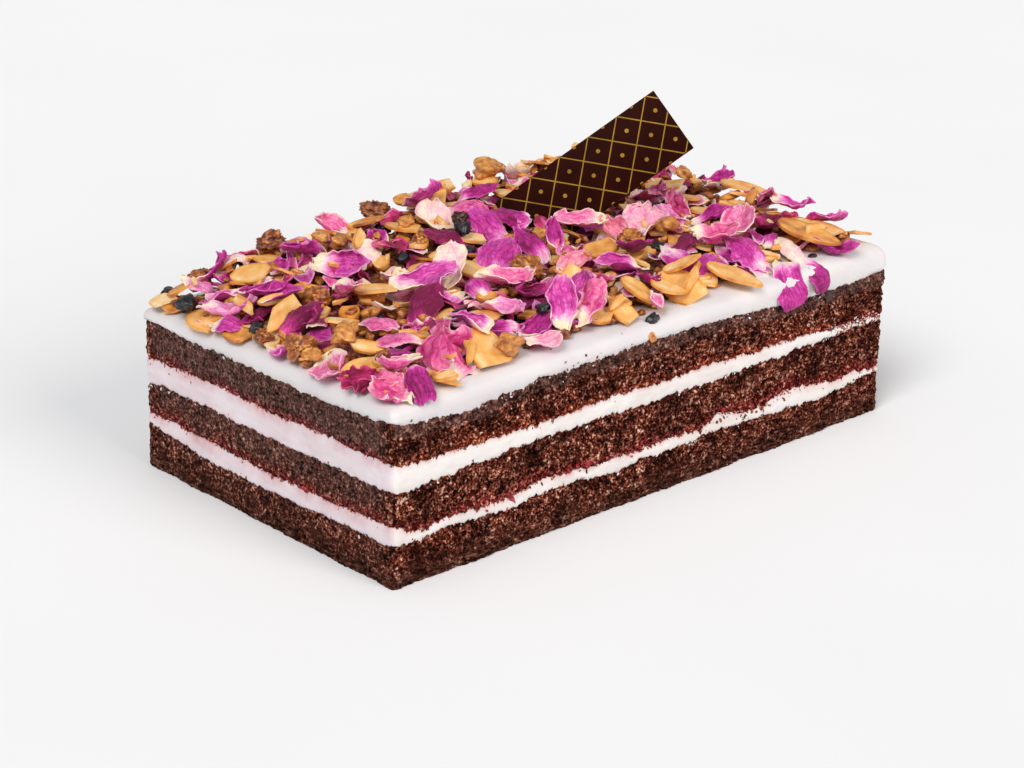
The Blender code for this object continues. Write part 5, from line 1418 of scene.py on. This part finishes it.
def make_nugget(piece):
    """A kernel from a ball: broken along planes, or furrowed all over, or some of both."""
    tone, depth, breaks = NUGGET_MAKES[piece["look"]]
    nugget = marked_shape()
    tone_mark = nugget.verts.layers.float["tone"]
    bmesh.ops.create_icosphere(nugget, subdivisions=NUGGET_FACES[piece["size"]], radius=1.0)
    draw = random.Random(int(piece["phase"] * 1e6))
    own = own_patch(draw)
    planes = [
        (Vector([draw.gauss(0, 1) for _ in range(3)]).normalized(), draw.uniform(0.5, 0.9))
        for _ in range(breaks)]
    for vertex in nugget.verts:
        direction = vertex.co.normalized()
        reach = min([1.1] + [distance / max(direction.dot(normal), 0.05) for normal, distance in planes])
        fold_spot = direction * Vector((2.2, 4.2, 4.2)) + own
        fold = min(1.0, abs(noise.noise(fold_spot)) * 3.2)
        fold *= min(1.0, abs(noise.noise(fold_spot * 2.1)) * 4.0 + 0.4)
        grit = noise.noise(direction * 9.0 + own)
        vertex.co = nugget_point(piece, direction) * (reach * (1.0 + depth * (fold - 0.6)) + 0.05 * grit)
        mottle = 0.14 * grit + 0.1 * noise.noise(direction * 2.0 + own)
        # Painted shade: the tone falls in the furrows, more so the deeper they are.
        vertex[tone_mark] = tone - 1.3 * depth * (1.0 - fold) + mottle
    return nugget


# Caramelised nut: glossy sugar over brown kernels, from gold on the ridges to near black where painted shade
# fills the furrows.
nut_material, tree, shader = new_material("caramelised nut", {
    "Roughness": 0.4, "IOR": 1.47, "Coat Weight": 0.25, "Coat Roughness": 0.2})
place = add_node(tree, "TexCoord", gives="Object")
nut_spots = add_node(tree, "TexNoise", {"Vector": place, "Scale": 420.0, "Detail": 4.0})
nut_shift = add_node(tree, "MapRange", {
    "Value": nut_spots, "From Min": 0.3, "From Max": 0.7, "To Min": -0.16, "To Max": 0.16})
tone = add_node(tree, "Attribute", gives="Fac", attribute_name="tone")
nutty = add_node(tree, "Math", {0: tone, 1: nut_shift}, operation="ADD")
nut_tint = add_node(tree, "ValToRGB", {"Fac": nutty}, stops=(
    (0.0, "2E1008"), (0.2, "703216"), (0.42, "A85E2A"), (0.62, "D48C40"), (0.85, "F2B866")))
nut_bump = add_node(tree, "Bump", {"Height": nut_spots, "Strength": 0.7, "Distance": 0.6 * MM})
fill_sockets(tree, shader, {"Base Color": nut_tint, "Normal": nut_bump})

nuggets = finish_piece(
    "nut_clusters", gather(laid_of("nugget", "whole", "small", "bed"), make_nugget), nut_material)
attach(nuggets, "root")
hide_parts("topping_heap")


# ---- Topping: dried berries ----------------------------------------------------------------
# Shrivelled blue-black berries, a few millimetres long, with sharp wrinkles and a waxy gloss.
RAISIN_FACES = {"whole": 3, "small": 3, "bed": 2}


def make_raisin(piece):
    """A shrivelled berry from a ball, pulled in along its wrinkles."""
    raisin = marked_shape()
    tone_mark = raisin.verts.layers.float["tone"]
    bmesh.ops.create_icosphere(raisin, subdivisions=RAISIN_FACES[piece["size"]], radius=1.0)
    own = Vector((3.0, piece["phase"] * 5.0, 2.0))
    for vertex in raisin.verts:
        direction = vertex.co.normalized()
        wrinkle = 1.0 - abs(noise.noise(direction * Vector((3.2, 1.6, 3.2)) + own)) * 2.0
        vertex.co = nugget_point(piece, direction) * (0.8 + 0.2 * wrinkle)
        vertex[tone_mark] = wrinkle
    return raisin


# Dried berry skin: waxy and nearly black, with scattered blue-grey specks that are partly a faint bloom and
# partly painted highlight.
berry_material, tree, shader = new_material("dried berry skin", {
    "Roughness": 0.4, "IOR": 1.45, "Coat Weight": 0.15})
place = add_node(tree, "TexCoord", gives="Object")
bloom = add_node(tree, "TexNoise", {"Vector": place, "Scale": 500.0, "Detail": 4.0})
berry_tint_and_glints = add_node(tree, "ValToRGB", {"Fac": bloom}, stops=(
    (0.35, "0E0B0C"), (0.6, "24242A"), (0.8, "5A6068")))
berry_bump = add_node(tree, "Bump", {"Height": bloom, "Strength": 0.6, "Distance": 0.5 * MM})
fill_sockets(tree, shader, {"Base Color": berry_tint_and_glints, "Normal": berry_bump})

berries = finish_piece(
    "dried_berries", gather(laid_of("raisin", "whole", "small", "bed"), make_raisin), berry_material)
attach(berries, "root")
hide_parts("topping_heap")
